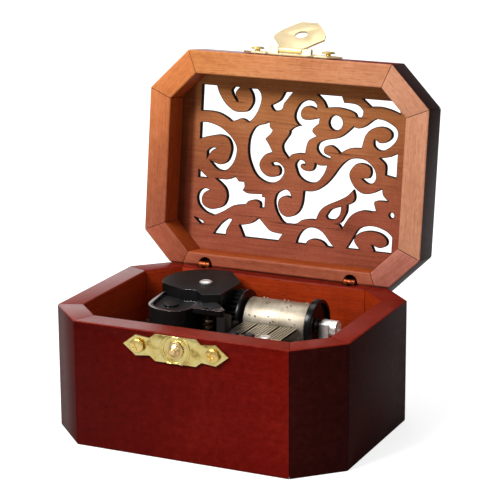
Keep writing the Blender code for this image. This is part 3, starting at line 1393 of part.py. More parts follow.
def build():
    clear_scene()
    case = Body("case_frame", (0, 0, 0), shift=(0, case_shift(), 0))
    lid = Body("lid_axis", (0, HINGE_Y, HINGE_Z), case, -LID_OPEN_ANGLE)
    hasp = Body("hasp_axis", (LATCH_X, HASP_Y, HASP_Z), lid, -HASP_SWING)
    cylinder = Body("cylinder_axis", (0, CYLINDER_Y, AXLE_Z), case)
    governor = Body("governor_axis", (0, GOVERNOR_Y, AXLE_Z), case)
    fly = Body("fly_axis", (WORM_X, WORM_Y, FLOOR_TOP), case)
    drive = Body("drive_axis", (ARBOR_X, ARBOR_Y, FLOOR_TOP), case)
    winder = Body("winder_axis", (ARBOR_X, ARBOR_Y, FLOOR_TOP), case)
    build_case(case)
    build_strike(case)
    for side, x in (("left", -HINGE_SPREAD), ("right", HINGE_SPREAD)):
        build_hinge(case, lid, side, x)
    build_lid(lid)
    build_panel(lid)
    build_hasp_plate(lid)
    build_hasp_leaf(hasp)
    build_bedplate(case)
    build_housing(case)
    build_bracket(case)
    build_comb(case)
    build_cylinder(cylinder)
    build_drive_wheel(drive)
    build_governor(governor, case)
    build_fly(fly)
    build_winder(winder)


build()
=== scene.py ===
"""Looks of the music box: finishes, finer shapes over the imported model, soft studio light and the camera."""

import json
import math

import bmesh
import bpy
from mathutils import Euler, Matrix, Vector


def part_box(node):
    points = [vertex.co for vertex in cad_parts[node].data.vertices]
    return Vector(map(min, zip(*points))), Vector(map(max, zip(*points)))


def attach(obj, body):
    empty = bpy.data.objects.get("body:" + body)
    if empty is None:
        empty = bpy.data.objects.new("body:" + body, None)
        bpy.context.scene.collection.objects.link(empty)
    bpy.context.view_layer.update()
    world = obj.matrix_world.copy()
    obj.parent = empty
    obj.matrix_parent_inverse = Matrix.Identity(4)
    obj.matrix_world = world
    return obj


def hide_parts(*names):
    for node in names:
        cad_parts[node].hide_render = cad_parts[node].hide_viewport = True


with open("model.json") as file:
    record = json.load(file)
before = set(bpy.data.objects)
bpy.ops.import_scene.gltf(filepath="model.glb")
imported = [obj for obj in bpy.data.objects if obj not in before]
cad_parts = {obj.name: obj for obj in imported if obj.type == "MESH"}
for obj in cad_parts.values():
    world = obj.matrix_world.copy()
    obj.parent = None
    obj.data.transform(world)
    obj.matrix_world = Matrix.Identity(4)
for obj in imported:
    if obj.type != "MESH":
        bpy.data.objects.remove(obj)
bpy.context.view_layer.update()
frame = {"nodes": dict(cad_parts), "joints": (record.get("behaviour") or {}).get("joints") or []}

MM = 0.001

# Camera, as the photograph was taken: place in metres, turn in degrees, lens and sensor in millimetres
CAMERA_PLACE = (0.28133, -0.600813, 0.24009)
CAMERA_TURN = (74.6839, 0.2975, 24.9265)
CAMERA_LENS = 145.5
CAMERA_SENSOR = 36.0
CAMERA_NEAREST = 0.01

# Studio: each lamp's place, width and power, and the place that all of them face
KEY_LAMP = ((-0.48, -0.95, 1.05), 0.5, 23.0)
FILL_LAMP = ((0.85, -0.75, 0.85), 0.8, 2.7)
TOP_LAMP = ((-0.1, 0.30, 1.2), 0.6, 4.0)
BACK_LAMP = ((-0.75, 0.80, 0.36), 0.9, 3.2)
STUDIO_LAMPS = (("key", KEY_LAMP), ("fill", FILL_LAMP), ("top", TOP_LAMP), ("back", BACK_LAMP))
LAMP_AIM = (0.0, 0.0, 0.05)
FLOOR_WIDTH = 6.0
SURROUND_LIGHT = 0.16

# The floor's glow round the case: its strength, and how far it reaches in under the sides and the cut corners
FLOOR_GLOW = 0.75
FLOOR_GLOW_INSET = 2.0
FLOOR_GLOW_CORNER_INSET = 3.0

# Turned pieces are made upright; these lay them along the case
TO_FRONT = Matrix.Rotation(math.radians(90), 4, "X")
ALONG_X = Matrix.Rotation(math.radians(90), 4, "Y")

# How far the edges of each node's copy are rounded, in millimetres; all others are boards
EDGE_ROUNDING = {
    "strike_plate": 0.2,
    "hasp_plate": 0.12,
    "hasp_leaf": 0.14,
    "spring_housing": 0.55,
    "governor_post": 0.2,
    "cylinder_gear": 0.08,
    "bearing_bracket": 0.18,
    "comb": 0.11,
}
BOARD_ROUNDING = 0.16
CROSS_HEAD_ROUNDING = 0.05

# In copies of CAD nodes, points this close in millimetres are merged, and faces within these degrees made one
MERGE_DISTANCE = 0.002
FLAT_ANGLE = 0.5

# Screws of the latch plates: radius and height of the head, the shank, and how each slot is turned in degrees
SCREW_HEAD = 2.4
SCREW_HEAD_HEIGHT = 0.85
SCREW_SHANK = ((0.9, -5.9), (0.9, 0.05))
SCREW_TURNS = (("left", 24.0), ("right", -10.0))

# Their cross recess: reach of an arm from the middle, its width and depth, and the top of what cuts it
CROSS_ARM = 1.45
CROSS_WIDTH = 0.5
CROSS_DEPTH = 0.6
CROSS_CUTTER_TOP = 2.0

# Stud of the strike plate, as radius and height; its rivet, and how deep that goes in
STUD_PROFILE = (
    (2.9, 0.0), (2.9, 0.18), (2.75, 0.26), (2.2, 0.26), (2.05, 0.36), (2.0, 0.85), (1.85, 1.0), (1.3, 1.3),
    (1.15, 1.45), (1.1, 2.1), (0.85, 2.33), (0.3, 2.38),
)
STUD_RIVET = ((1.05, -0.95), (1.05, 0.05))
STUD_DEPTH = 0.9

# Pierced panel: rounding of its edges, width of the burnt margin on its faces, points for each stretch of a
# curve, and the sharpest bend in degrees that is eased
SCROLL_ROUNDING = 0.12
SCORCH_WIDTH = 0.3
CURVE_STEPS = 3
SHARPEST_EASED_BEND = 42.0

# Where the panel's colour turns from tan to red, as shares of the way from its front to its back
TAN_SHARE = 0.05
RED_SHARE = 0.72

# Painted shade on the panel along the lid's left board: how far it reaches at full and in all, and its tint
PANEL_PAINTED_SHADE_REACH = (4.2, 5.8)
PANEL_PAINTED_SHADE_TINT = (0.42, 0.27, 0.20)

# Spring housing: how high the rim of its small lobe lies, and how squarely upwards a face has to look to
# belong to a rounded edge, to that rim, or to a flat top
LOBE_RIM_HEIGHT = 42.0
ROUNDED_EDGE = 0.2
LOBE_RIM = 0.9
FLAT_TOP = 0.93

# Cylinder: its pins, the first note's place, the step between notes and what is added between their groups
PIN_WIDTH = 0.46
PIN_RISE = 0.5
NOTE_STEP = 1.06
GROUP_STEP = 0.55
FIRST_NOTE = 1.28
GROUPS = (5, 7, 6)
PINS_PER_NOTE = 3

# The pins' regular pattern, in degrees: from note to note, and from pin to pin with a gain that starts again
# after every few notes
NOTE_TURN = 137.5
PIN_TURN = 97.0
PIN_TURN_GAIN = 11.0
GAIN_CYCLE = 3

# Where most of a noise pattern's values lie, for its colours and for its roughness
NOISE_SPAN = (0.3, 0.7)
ROUGHNESS_SPAN = (0.25, 0.75)

# How much of a wood's tone comes from its clouds
WOOD_CLOUDS = 0.3


def joint(name):
    """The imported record's joint of that name."""
    for entry in frame["joints"]:
        if entry["name"] == name:
            return entry
    raise KeyError(name)


def turn_about(entry, degrees):
    """The matrix that turns by degrees about a joint's axis."""
    place = Matrix.Translation(Vector(entry["pos_m"]))
    turn = Matrix.Rotation(math.radians(degrees), 4, Vector(entry["axis"]))
    return place @ turn @ place.inverted()


SHUT_LID = turn_about(joint("lid_hinge"), joint("lid_hinge")["range_deg"][1])
OPEN_LID = SHUT_LID.inverted()


def deselect():
    """Leave nothing selected."""
    bpy.ops.object.select_all(action="DESELECT")


def pick(piece):
    """Make a piece the only one that operators act on."""
    deselect()
    piece.select_set(True)
    bpy.context.view_layer.objects.active = piece


def settle(piece):
    """Move a piece's place, turn and size into its mesh."""
    pick(piece)
    bpy.ops.object.transform_apply(location=True, rotation=True, scale=True)


def apply_modifiers(piece):
    """Apply all of a piece's modifiers in their order."""
    pick(piece)
    for modifier in list(piece.modifiers):
        bpy.ops.object.modifier_apply(modifier=modifier.name)


def smooth(piece, degrees=35.0):
    """Shade a piece smooth, apart from edges that bend by more than the given degrees."""
    pick(piece)
    bpy.ops.object.shade_smooth_by_angle(angle=math.radians(degrees))


def select_faces(piece, wanted):
    """Open a piece in edit mode with only the wanted faces selected."""
    pick(piece)
    bpy.ops.object.mode_set(mode="EDIT")
    bpy.ops.mesh.select_mode(type="FACE")
    bpy.ops.mesh.select_all(action="DESELECT")
    bpy.ops.object.mode_set(mode="OBJECT")
    for face in piece.data.polygons:
        face.select = wanted(face)
    bpy.ops.object.mode_set(mode="EDIT")


def twin(piece, name):
    """A copy of a piece with a mesh of its own."""
    copy = bpy.data.objects.new(name, piece.data.copy())
    bpy.context.scene.collection.objects.link(copy)
    return copy


def joined(first, others):
    """One piece made of several."""
    pick(first)
    for other in others:
        other.select_set(True)
    bpy.ops.object.join()
    return first


def subtract(piece, cutter):
    """Cut one piece out of another."""
    cutting = piece.modifiers.new("cutting", "BOOLEAN")
    cutting.operation = "DIFFERENCE"
    cutting.solver = "EXACT"
    cutting.object = cutter
    apply_modifiers(piece)
    bpy.data.objects.remove(cutter)


def round_edges(piece, radius, segments=2, angle=30.0):
    """Round the edges that bend by more than angle degrees, by radius in millimetres."""
    rounding = piece.modifiers.new("rounding", "BEVEL")
    rounding.width = radius * MM
    rounding.segments = segments
    rounding.limit_method = "ANGLE"
    rounding.angle_limit = math.radians(angle)
    rounding.use_clamp_overlap = True
    apply_modifiers(piece)
    smooth(piece)


def block(name, low, high):
    """A plain block between two corners in millimetres, to be shaped further."""
    middle = [(a + b) / 2 * MM for a, b in zip(low, high)]
    deselect()
    bpy.ops.mesh.primitive_cube_add(size=1.0, location=middle)
    piece = bpy.context.active_object
    piece.name = name
    piece.scale = [(b - a) * MM for a, b in zip(low, high)]
    settle(piece)
    return piece


def number_by_place(piece):
    """Number a piece's points, edges and faces by their place, because extruding leaves them in any order."""
    mesh = bmesh.new()
    mesh.from_mesh(piece.data)
    for number, vertex in enumerate(sorted(mesh.verts, key=lambda vertex: tuple(vertex.co))):
        vertex.index = number
    mesh.verts.sort()
    for parts in (mesh.edges, mesh.faces):
        by_place = sorted(parts, key=lambda part: sorted(vertex.index for vertex in part.verts))
        for number, part in enumerate(by_place):
            part.index = number
        parts.sort()
    mesh.to_mesh(piece.data)
    mesh.free()


def turned(name, profile, segments=48):
    """A solid turned about Z; the profile gives radius and height in millimetres from the bottom up."""
    radius, low = profile[0]
    height = profile[1][1]
    deselect()
    bpy.ops.mesh.primitive_cylinder_add(
        vertices=segments, radius=radius * MM, depth=(height - low) * MM,
        location=(0, 0, (low + height) / 2 * MM),
    )
    piece = bpy.context.active_object
    piece.name = name
    settle(piece)
    select_faces(piece, lambda face: face.normal.z > 0.9)
    for step, (next_radius, next_height) in enumerate(profile[1:]):
        if step > 0:
            bpy.ops.mesh.extrude_region_move(
                TRANSFORM_OT_translate={"value": (0.0, 0.0, (next_height - height) * MM)},
            )
        ratio = next_radius / radius
        bpy.ops.transform.resize(value=(ratio, ratio, 1.0), center_override=(0.0, 0.0, next_height * MM))
        radius = next_radius
        height = next_height
    bpy.ops.object.mode_set(mode="OBJECT")
    number_by_place(piece)
    return piece


def node_copy(node, name):
    """A merged copy of a CAD node's mesh, with flat faces made whole again."""
    piece = bpy.data.objects.new(name, frame["nodes"][node].data.copy())
    bpy.context.scene.collection.objects.link(piece)
    piece.data.materials.clear()
    pick(piece)
    bpy.ops.mesh.customdata_custom_splitnormals_clear()
    bpy.ops.object.mode_set(mode="EDIT")
    bpy.ops.mesh.select_all(action="SELECT")
    bpy.ops.mesh.remove_doubles(threshold=MERGE_DISTANCE * MM)
    bpy.ops.mesh.dissolve_limited(angle_limit=math.radians(FLAT_ANGLE))
    bpy.ops.object.mode_set(mode="OBJECT")
    return piece


def rounded_copy(node, name, segments=2):
    """A copy of a CAD node with its edges rounded."""
    piece = node_copy(node, name)
    round_edges(piece, EDGE_ROUNDING.get(node, BOARD_ROUNDING), segments)
    return piece


def node_box(node):
    """The lowest and highest corner, in millimetres, of a node."""
    low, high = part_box(node)
    return [value / MM for value in low], [value / MM for value in high]


def case_corners():
    """The lowest and highest corner of the case's boards seen from above, in metres."""
    low = Vector((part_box("left_board")[0][0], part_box("front_board")[0][1], 0.0))
    high = Vector((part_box("right_board")[1][0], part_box("back_board")[1][1], 0.0))
    return low, high


def shut_box(node):
    """The lowest and highest corner, in millimetres, of a lid node with the lid shut."""
    places = [SHUT_LID @ vertex.co for vertex in frame["nodes"][node].data.vertices]
    low = [min(place[axis] for place in places) / MM for axis in range(3)]
    high = [max(place[axis] for place in places) / MM for axis in range(3)]
    return low, high


def fit(piece, body, material, slot, *nodes):
    """Give a piece its material and body, and let it stand for CAD nodes."""
    if material is not None:
        piece.data.materials.clear()
        piece.data.materials.append(material)
    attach(piece, body)
    if nodes:
        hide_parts(*nodes)


class Finish:
    """A Principled material whose colour, roughness and bump come from procedural nodes."""

    def __init__(self, name, colour, roughness, metallic=0.0):
        self.material = bpy.data.materials.new(name)
        self.material.use_nodes = True
        self.nodes = self.material.node_tree.nodes
        self.links = self.material.node_tree.links
        self.shader = self.nodes["Principled BSDF"]
        self.shader.inputs["Base Color"].default_value = (*colour, 1.0)
        self.shader.inputs["Roughness"].default_value = roughness
        self.shader.inputs["Metallic"].default_value = metallic
        self.object_place = self.nodes.new("ShaderNodeTexCoord").outputs["Object"]

    def set(self, **values):
        """Set plain values on the shader; a name's underscores stand for spaces."""
        for name, value in values.items():
            self.shader.inputs[name.replace("_", " ")].default_value = value

    def mapped(self, turn=(0.0, 0.0, 0.0), scale=(1.0, 1.0, 1.0), vector=None):
        """Object coordinates, or the ones given, turned and scaled."""
        mapping = self.nodes.new("ShaderNodeMapping")
        mapping.inputs["Rotation"].default_value = turn
        mapping.inputs["Scale"].default_value = scale
        self.links.new(self.object_place if vector is None else vector, mapping.inputs["Vector"])
        return mapping.outputs["Vector"]

    def noise(self, scale, detail=2.0, vector=None, distortion=0.0, roughness=0.5):
        """A cloudy noise pattern on object coordinates, or on the ones given."""
        texture = self.nodes.new("ShaderNodeTexNoise")
        texture.inputs["Scale"].default_value = scale
        texture.inputs["Detail"].default_value = detail
        texture.inputs["Roughness"].default_value = roughness
        texture.inputs["Distortion"].default_value = distortion
        self.links.new(self.object_place if vector is None else vector, texture.inputs["Vector"])
        return texture.outputs["Fac"]

    def spread(self, factor, low, high, new_low=0.0, new_high=1.0):
        """Stretch the part of a value between low and high over a new range."""
        stretch = self.nodes.new("ShaderNodeMapRange")
        for name, value in (("From Min", low), ("From Max", high), ("To Min", new_low), ("To Max", new_high)):
            stretch.inputs[name].default_value = value
        self.links.new(factor, stretch.inputs["Value"])
        return stretch.outputs["Result"]

    def tones(self, factor, *stops):
        """Colours along a value; each stop is a position and a colour."""
        ramp = self.nodes.new("ShaderNodeValToRGB")
        marks = ramp.color_ramp.elements
        while len(marks) < len(stops):
            marks.new(0.5)
        for mark, (position, colour) in zip(marks, stops):
            mark.position = position
            mark.color = (*colour, 1.0)
        self.links.new(factor, ramp.inputs["Fac"])
        return ramp.outputs["Color"]

    def mixed(self, factor, first, second, mode="MIX"):
        """Two colours mixed; the second may be a plain colour and the factor a plain number."""
        mix = self.nodes.new("ShaderNodeMix")
        mix.data_type = "RGBA"
        mix.blend_type = mode
        for value, socket in ((factor, mix.inputs[0]), (first, mix.inputs[6]), (second, mix.inputs[7])):
            if isinstance(value, bpy.types.NodeSocket):
                self.links.new(value, socket)
            elif isinstance(value, tuple):
                socket.default_value = (*value, 1.0)
            else:
                socket.default_value = value
        return mix.outputs[2]

    def reckon(self, operation, first, second):
        """Two values reckoned together, either of which may be a plain number."""
        maths = self.nodes.new("ShaderNodeMath")
        maths.operation = operation
        for value, socket in ((first, maths.inputs[0]), (second, maths.inputs[1])):
            if isinstance(value, bpy.types.NodeSocket):
                self.links.new(value, socket)
            else:
                socket.default_value = value
        return maths.outputs[0]

    def axes(self, vector):
        """The three coordinates of a place, each by itself."""
        separate = self.nodes.new("ShaderNodeSeparateXYZ")
        self.links.new(vector, separate.inputs[0])
        return separate.outputs

    def along(self, direction, start, end):
        """A value that grows from 0 to 1 between two places, in metres, along a direction."""
        measure = self.nodes.new("ShaderNodeVectorMath")
        measure.operation = "DOT_PRODUCT"
        self.links.new(self.object_place, measure.inputs[0])
        measure.inputs[1].default_value = direction
        return self.spread(measure.outputs["Value"], start, end)

    def colour(self, socket):
        """Let the surface take its colour from nodes."""
        self.links.new(socket, self.shader.inputs["Base Color"])

    def roughness(self, factor, low, high):
        """Let the surface's roughness follow a value, from low to high."""
        self.links.new(self.spread(factor, *ROUGHNESS_SPAN, low, high), self.shader.inputs["Roughness"])

    def bump(self, height, depth, strength=1.0):
        """Relief of that depth in millimetres."""
        relief = self.nodes.new("ShaderNodeBump")
        relief.inputs["Strength"].default_value = strength
        relief.inputs["Distance"].default_value = depth * MM
        self.links.new(height, relief.inputs["Height"])
        self.links.new(relief.outputs["Normal"], self.shader.inputs["Normal"])


def wood(name, turn, colours, gloss, streaks=0.5, mottle=0.3, pores=0.5, shine=0.5, fade=None):
    """Close-grained wood whose grain runs along X once the pattern is turned.

    colours are the dark, middle and light stain and the colour of the pores. fade gives a direction, the
    places along it in metres between which the colour changes, and the tint that it has at the first one;
    on the case's front this is painted shade.
    """
    dark, middle, light, pore = colours
    finish = Finish(name, middle, 0.35)
    grain_place = finish.mapped(turn)
    band_place = finish.mapped(scale=(0.12, 1.0, 1.0), vector=grain_place)
    bands = finish.noise(70.0, 3.0, band_place, distortion=0.6)
    fibres = finish.noise(2200.0, 3.0, finish.mapped(scale=(0.035, 1.0, 1.0), vector=grain_place))
    clouds = finish.noise(30.0, 2.0)
    blotches = finish.noise(420.0, 4.0, roughness=0.65)
    flecks = finish.noise(3600.0, 1.0, finish.mapped(scale=(0.10, 1.0, 1.0), vector=grain_place))
    streaked = finish.spread(bands, *NOISE_SPAN, 0.0, streaks / 2)
    tone = finish.reckon("ADD", streaked, finish.spread(clouds, *NOISE_SPAN, 0.0, WOOD_CLOUDS))
    tone = finish.reckon("ADD", tone, finish.spread(fibres, *NOISE_SPAN, 0.0, streaks / 2))
    tone = finish.reckon("ADD", tone, finish.spread(blotches, *NOISE_SPAN, 0.0, mottle))
    middle_tone = (streaks + mottle + WOOD_CLOUDS) / 2
    colour = finish.tones(
        finish.reckon("MULTIPLY", tone, 0.5 / middle_tone), (0.12, dark), (0.5, middle), (0.9, light),
    )
    pits = finish.spread(flecks, 0.60, 0.72)
    colour = finish.mixed(finish.reckon("MULTIPLY", pits, pores), colour, pore)
    if fade:
        direction, start, end, tint = fade
        tinted = finish.mixed(1.0, colour, tint, "MULTIPLY")
        colour = finish.mixed(finish.along(direction, start, end), tinted, colour)
    finish.colour(colour)
    finish.roughness(blotches, *gloss)
    relief = finish.reckon("SUBTRACT", finish.reckon("MULTIPLY", fibres, 0.5), pits)
    finish.bump(relief, 0.012, 0.3)
    finish.set(Specular_IOR_Level=shine)
    return finish.material


def metal(name, shade, tint, roughness, scratch=700.0, depth=0.006, stretch=(0.15, 1.0, 1.0)):
    """Plated metal with cloudy tarnish and fine polishing marks."""
    finish = Finish(name, shade, roughness[0], 1.0)
    tarnish = finish.noise(140.0, 4.0)
    marks = finish.noise(scratch, 3.0, finish.mapped(scale=stretch))
    finish.colour(finish.tones(finish.spread(tarnish, *NOISE_SPAN), (0.0, tint), (0.6, shade)))
    finish.roughness(finish.reckon("MULTIPLY", finish.reckon("ADD", tarnish, marks), 0.5), *roughness)
    finish.bump(marks, depth, 0.4)
    return finish.material


def relieved_brass():
    """Pressed brass sheet: pale and yellow, with soft dents that make its shine uneven."""
    finish = Finish("pale_brass", (0.98, 0.84, 0.44), 0.3, 1.0)
    dents = finish.noise(150.0, 1.0)
    tarnish = finish.noise(260.0, 4.0, roughness=0.6)
    marks = finish.noise(900.0, 2.0, finish.mapped(scale=(0.2, 1.0, 1.0)))
    finish.colour(finish.tones(
        finish.spread(tarnish, 0.32, 0.62),
        (0.0, (0.47, 0.34, 0.10)), (0.35, (0.86, 0.67, 0.22)), (1.0, (0.96, 0.82, 0.36)),
    ))
    finish.roughness(finish.reckon("MULTIPLY", finish.reckon("ADD", tarnish, marks), 0.5), 0.24, 0.36)
    finish.bump(finish.reckon("ADD", dents, finish.reckon("MULTIPLY", marks, 0.02)), 0.9, 1.0)
    return finish.material


def moulded_plastic(name, shade, roughness, shine=0.3):
    """Black moulding with a faint leather-like skin and dust."""
    finish = Finish(name, shade, roughness[0])
    skin = finish.noise(2600.0, 2.0)
    dust = finish.noise(900.0, 5.0, roughness=0.7)
    worn = finish.noise(120.0, 3.0)
    grey = tuple(value + 0.004 for value in shade)
    colour = finish.tones(finish.spread(worn, *NOISE_SPAN), (0.0, shade), (1.0, grey))
    finish.colour(finish.mixed(finish.spread(dust, 0.70, 0.8, 0.0, 0.12), colour, (0.16, 0.15, 0.14)))
    finish.roughness(worn, *roughness)
    finish.bump(skin, 0.012, 0.2)
    finish.set(Specular_IOR_Level=shine)
    return finish.material


def grain_turn(angle, lid):
    """The Mapping rotation that lays a board's length along X; angle is its direction seen from above."""
    turn = Matrix.Rotation(math.radians(-angle), 3, "Z")
    if lid:
        turn = turn @ SHUT_LID.to_3x3()
    return tuple(turn.to_euler("XYZ"))


# The direction in which each board runs, seen from above, in degrees
BOARD_DIRECTIONS = {
    "front_board": 0.0,
    "front_right_corner_board": 45.0,
    "right_board": 90.0,
    "rear_right_corner_board": 135.0,
    "back_board": 0.0,
    "rear_left_corner_board": 45.0,
    "left_board": 90.0,
    "front_left_corner_board": 135.0,
}

# Dark, middle and light stain, and the colour of the pores
# Darker copy of the lacquer's red, as painted shade on the boards of the right-hand side
PAINTED_SHADE_RED = (
    (0.020, 0.0022, 0.0018), (0.028, 0.0034, 0.0026),
    (0.042, 0.0060, 0.0042), (0.012, 0.001, 0.001),
)
DEEP_RED = (
    (0.078, 0.0018, 0.0010), (0.105, 0.0030, 0.0017),
    (0.140, 0.0065, 0.0035), (0.035, 0.002, 0.001),
)
FRONT_RED = (
    (0.115, 0.0022, 0.0010), (0.163, 0.0042, 0.0018),
    (0.220, 0.0095, 0.0048), (0.050, 0.001, 0.001),
)
# Dimmer copy of the lacquer's red, as painted shade on the front-left corner board
PAINTED_HALF_SHADE_RED = (
    (0.034, 0.0018, 0.0012), (0.048, 0.0028, 0.0018),
    (0.070, 0.0060, 0.0034), (0.018, 0.001, 0.001),
)
RIM_RED = (
    (0.120, 0.0060, 0.0028), (0.180, 0.0105, 0.0048),
    (0.250, 0.0300, 0.0140), (0.060, 0.005, 0.003),
)
INNER_STAIN = (
    (0.200, 0.0170, 0.0020), (0.340, 0.0300, 0.0038),
    (0.460, 0.0560, 0.0090), (0.100, 0.009, 0.002),
)
GOLDEN_AMBER = (
    (0.460, 0.1300, 0.0340), (0.640, 0.2050, 0.0600),
    (0.760, 0.2900, 0.1000), (0.300, 0.070, 0.020),
)
LIGHT_AMBER = (
    (0.450, 0.1600, 0.0700), (0.610, 0.2500, 0.1250),
    (0.720, 0.3400, 0.1900), (0.300, 0.080, 0.035),
)
AMBER = (
    (0.390, 0.1050, 0.0290), (0.540, 0.1600, 0.0450),
    (0.660, 0.2300, 0.0780), (0.260, 0.050, 0.016),
)
RED_AMBER = (
    (0.250, 0.0560, 0.0250), (0.355, 0.0900, 0.0450),
    (0.470, 0.1400, 0.0750), (0.160, 0.030, 0.013),
)
ROSE_AMBER = (
    (0.320, 0.0950, 0.0600), (0.440, 0.1500, 0.1050),
    (0.550, 0.2200, 0.1600), (0.210, 0.050, 0.030),
)
PINK_AMBER = (
    (0.410, 0.1650, 0.0850), (0.560, 0.2500, 0.1430),
    (0.680, 0.3400, 0.2150), (0.280, 0.085, 0.040),
)
LID_INNER = (
    (0.250, 0.0380, 0.0065), (0.395, 0.0720, 0.0130),
    (0.530, 0.1250, 0.0300), (0.140, 0.023, 0.005),
)
FLOOR_STAIN = (
    (0.10, 0.03, 0.012), (0.16, 0.05, 0.02),
    (0.24, 0.085, 0.035), (0.05, 0.015, 0.008),
)

# Outer stain of each board and the shine of the case's lacquer over it; the lid has the same stains. The
# right-hand boards and the front-left corner board get darker copies of the red: painted shade
OUTER_STAINS_AND_PAINTED_SHADE = {
    "front_board": (FRONT_RED, 0.05),
    "front_right_corner_board": (PAINTED_SHADE_RED, 0.02),
    "right_board": (PAINTED_SHADE_RED, 0.02),
    "rear_right_corner_board": (PAINTED_SHADE_RED, 0.02),
    "back_board": (DEEP_RED, 0.05),
    "rear_left_corner_board": (DEEP_RED, 0.05),
    "left_board": (DEEP_RED, 0.05),
    "front_left_corner_board": (PAINTED_HALF_SHADE_RED, 0.03),
}
INNER_SHINE = 0.1
LID_SHINE = 0.1
LID_RIM_SHINE = 0.12

# Roughness of the lacquer, the stained inner faces and the rims, from their smoothest to their dullest spots
LACQUER_GLOSS = (0.26, 0.38)
INNER_GLOSS = (0.45, 0.6)
RIM_GLOSS = (0.28, 0.4)
LID_INNER_GLOSS = (0.4, 0.55)
LID_RIM_GLOSS = (0.38, 0.52)
FLOOR_GLOSS = (0.45, 0.65)

# How much each kind of face shows of the grain's streaks, of blotches and of pores
LACQUER_FIGURE = (0.25, 0.45, 0.35)
INNER_FIGURE = (0.8, 0.2, 0.6)
RIM_FIGURE = (0.4, 0.4, 0.4)
LID_INNER_FIGURE = (0.6, 0.3, 0.6)
LID_RIM_FIGURE = (0.7, 0.35, 0.5)

# How glossy the lacquer is on the case's rims, where it isn't worn dull
RIM_SHINE = {"left_board": 0.35, "front_left_corner_board": 0.35, "front_board": 0.12}
WORN_RIM_SHINE = 0.07

# Painted shade on the front: its colour grows brighter from its left end. Where this starts and ends, as
# shares of half the case's length, the slanting direction that it follows, and the tint at its dim end
FRONT_PAINTED_SHADE_FROM = 1.25
FRONT_PAINTED_SHADE_TO = 0.85
FRONT_PAINTED_SHADE_SLANT = (1.0, 0.0, -0.5)
FRONT_PAINTED_SHADE_TINT = (0.24, 0.20, 0.20)

# Colour of each lid board's rim, which faces the viewer when the lid is open
LID_RIM_COLOURS = {
    "front_board": LIGHT_AMBER,
    "front_right_corner_board": PINK_AMBER,
    "front_left_corner_board": GOLDEN_AMBER,
    "right_board": PINK_AMBER,
    "left_board": AMBER,
    "rear_right_corner_board": ROSE_AMBER,
    "rear_left_corner_board": RED_AMBER,
    "back_board": RED_AMBER,
}

# Lid rims whose colour changes from end to end: the axis along the board and the tint at its low end
LID_FADES = {
    "left_board": ((0.0, 0.0, 1.0), (0.66, 0.62, 1.2)),
    "front_board": ((1.0, 0.0, 0.0), (1.0, 0.88, 0.52)),
}

# How squarely a board's face has to look to the rim's side, or into the box, to count as rim or inner face
RIM_FACING = 0.5
INNER_FACING = 0.35


def paint_board(piece, lid, low, high):
    """Give a board's outer, inner and rim faces their own material numbers: 0, 1 and 2."""
    middle = (low + high) / 2
    turn = SHUT_LID if lid else Matrix.Identity(4)
    rim_side = -1.0 if lid else 1.0
    for face in piece.data.polygons:
        normal = turn.to_3x3() @ face.normal
        place = turn @ face.center
        inward = Vector((middle.x - place.x, middle.y - place.y, 0.0)).normalized()
        face.material_index = 0
        if normal.z * rim_side > RIM_FACING:
            face.material_index = 2
        elif normal.dot(inward) > INNER_FACING:
            face.material_index = 1


def dress_case_board(board, angle, low, high):
    """One board of the case: lacquered outside, stained inside, with a worn or glossy rim."""
    turn = grain_turn(angle, False)
    lacquered = rounded_copy(board, board + "_lacquered")
    stain, shine = OUTER_STAINS_AND_PAINTED_SHADE[board]
    fade = None
    # Painted shade: the front is darker towards its left end
    if board == "front_board":
        fade = (FRONT_PAINTED_SHADE_SLANT, low.x * FRONT_PAINTED_SHADE_FROM, high.x * FRONT_PAINTED_SHADE_TO, FRONT_PAINTED_SHADE_TINT)
    rim_shine = RIM_SHINE.get(board, WORN_RIM_SHINE)
    for material in (
        wood(board + "_lacquer", turn, stain, LACQUER_GLOSS, *LACQUER_FIGURE, shine, fade),
        wood(board + "_inner_stain", turn, INNER_STAIN, INNER_GLOSS, *INNER_FIGURE, INNER_SHINE),
        wood(board + "_rim", turn, RIM_RED, RIM_GLOSS, *RIM_FIGURE, rim_shine),
    ):
        lacquered.data.materials.append(material)
    paint_board(lacquered, False, low, high)
    fit(lacquered, "case", None, "mahogany", board)


def dress_lid_board(board, angle, low, high):
    """The lid's board over that board of the case."""
    node = "lid_" + board
    turn = grain_turn(angle, True)
    fade = None
    if board in LID_FADES:
        direction, tint = LID_FADES[board]
        ends = [Vector(corner).dot(Vector(direction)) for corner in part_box(node)]
        fade = (direction, *ends, tint)
    lacquered = rounded_copy(node, node + "_lacquered")
    stain = OUTER_STAINS_AND_PAINTED_SHADE[board][0]
    for material in (
        wood(node + "_lacquer", turn, stain, LACQUER_GLOSS, *LACQUER_FIGURE, LID_SHINE),
        wood(node + "_inner_stain", turn, LID_INNER, LID_INNER_GLOSS, *LID_INNER_FIGURE, INNER_SHINE),
        wood(node + "_rim", turn, LID_RIM_COLOURS[board], LID_RIM_GLOSS, *LID_RIM_FIGURE, LID_RIM_SHINE, fade),
    ):
        lacquered.data.materials.append(material)
    paint_board(lacquered, True, low, high)
    fit(lacquered, "lid", None, "walnut", node)


def dress_boards():
    """The sixteen lacquered boards, each with its own run of grain and softly rounded edges."""
    low, high = case_corners()
    for board, angle in BOARD_DIRECTIONS.items():
        dress_case_board(board, angle, low, high)
        dress_lid_board(board, angle, low, high)


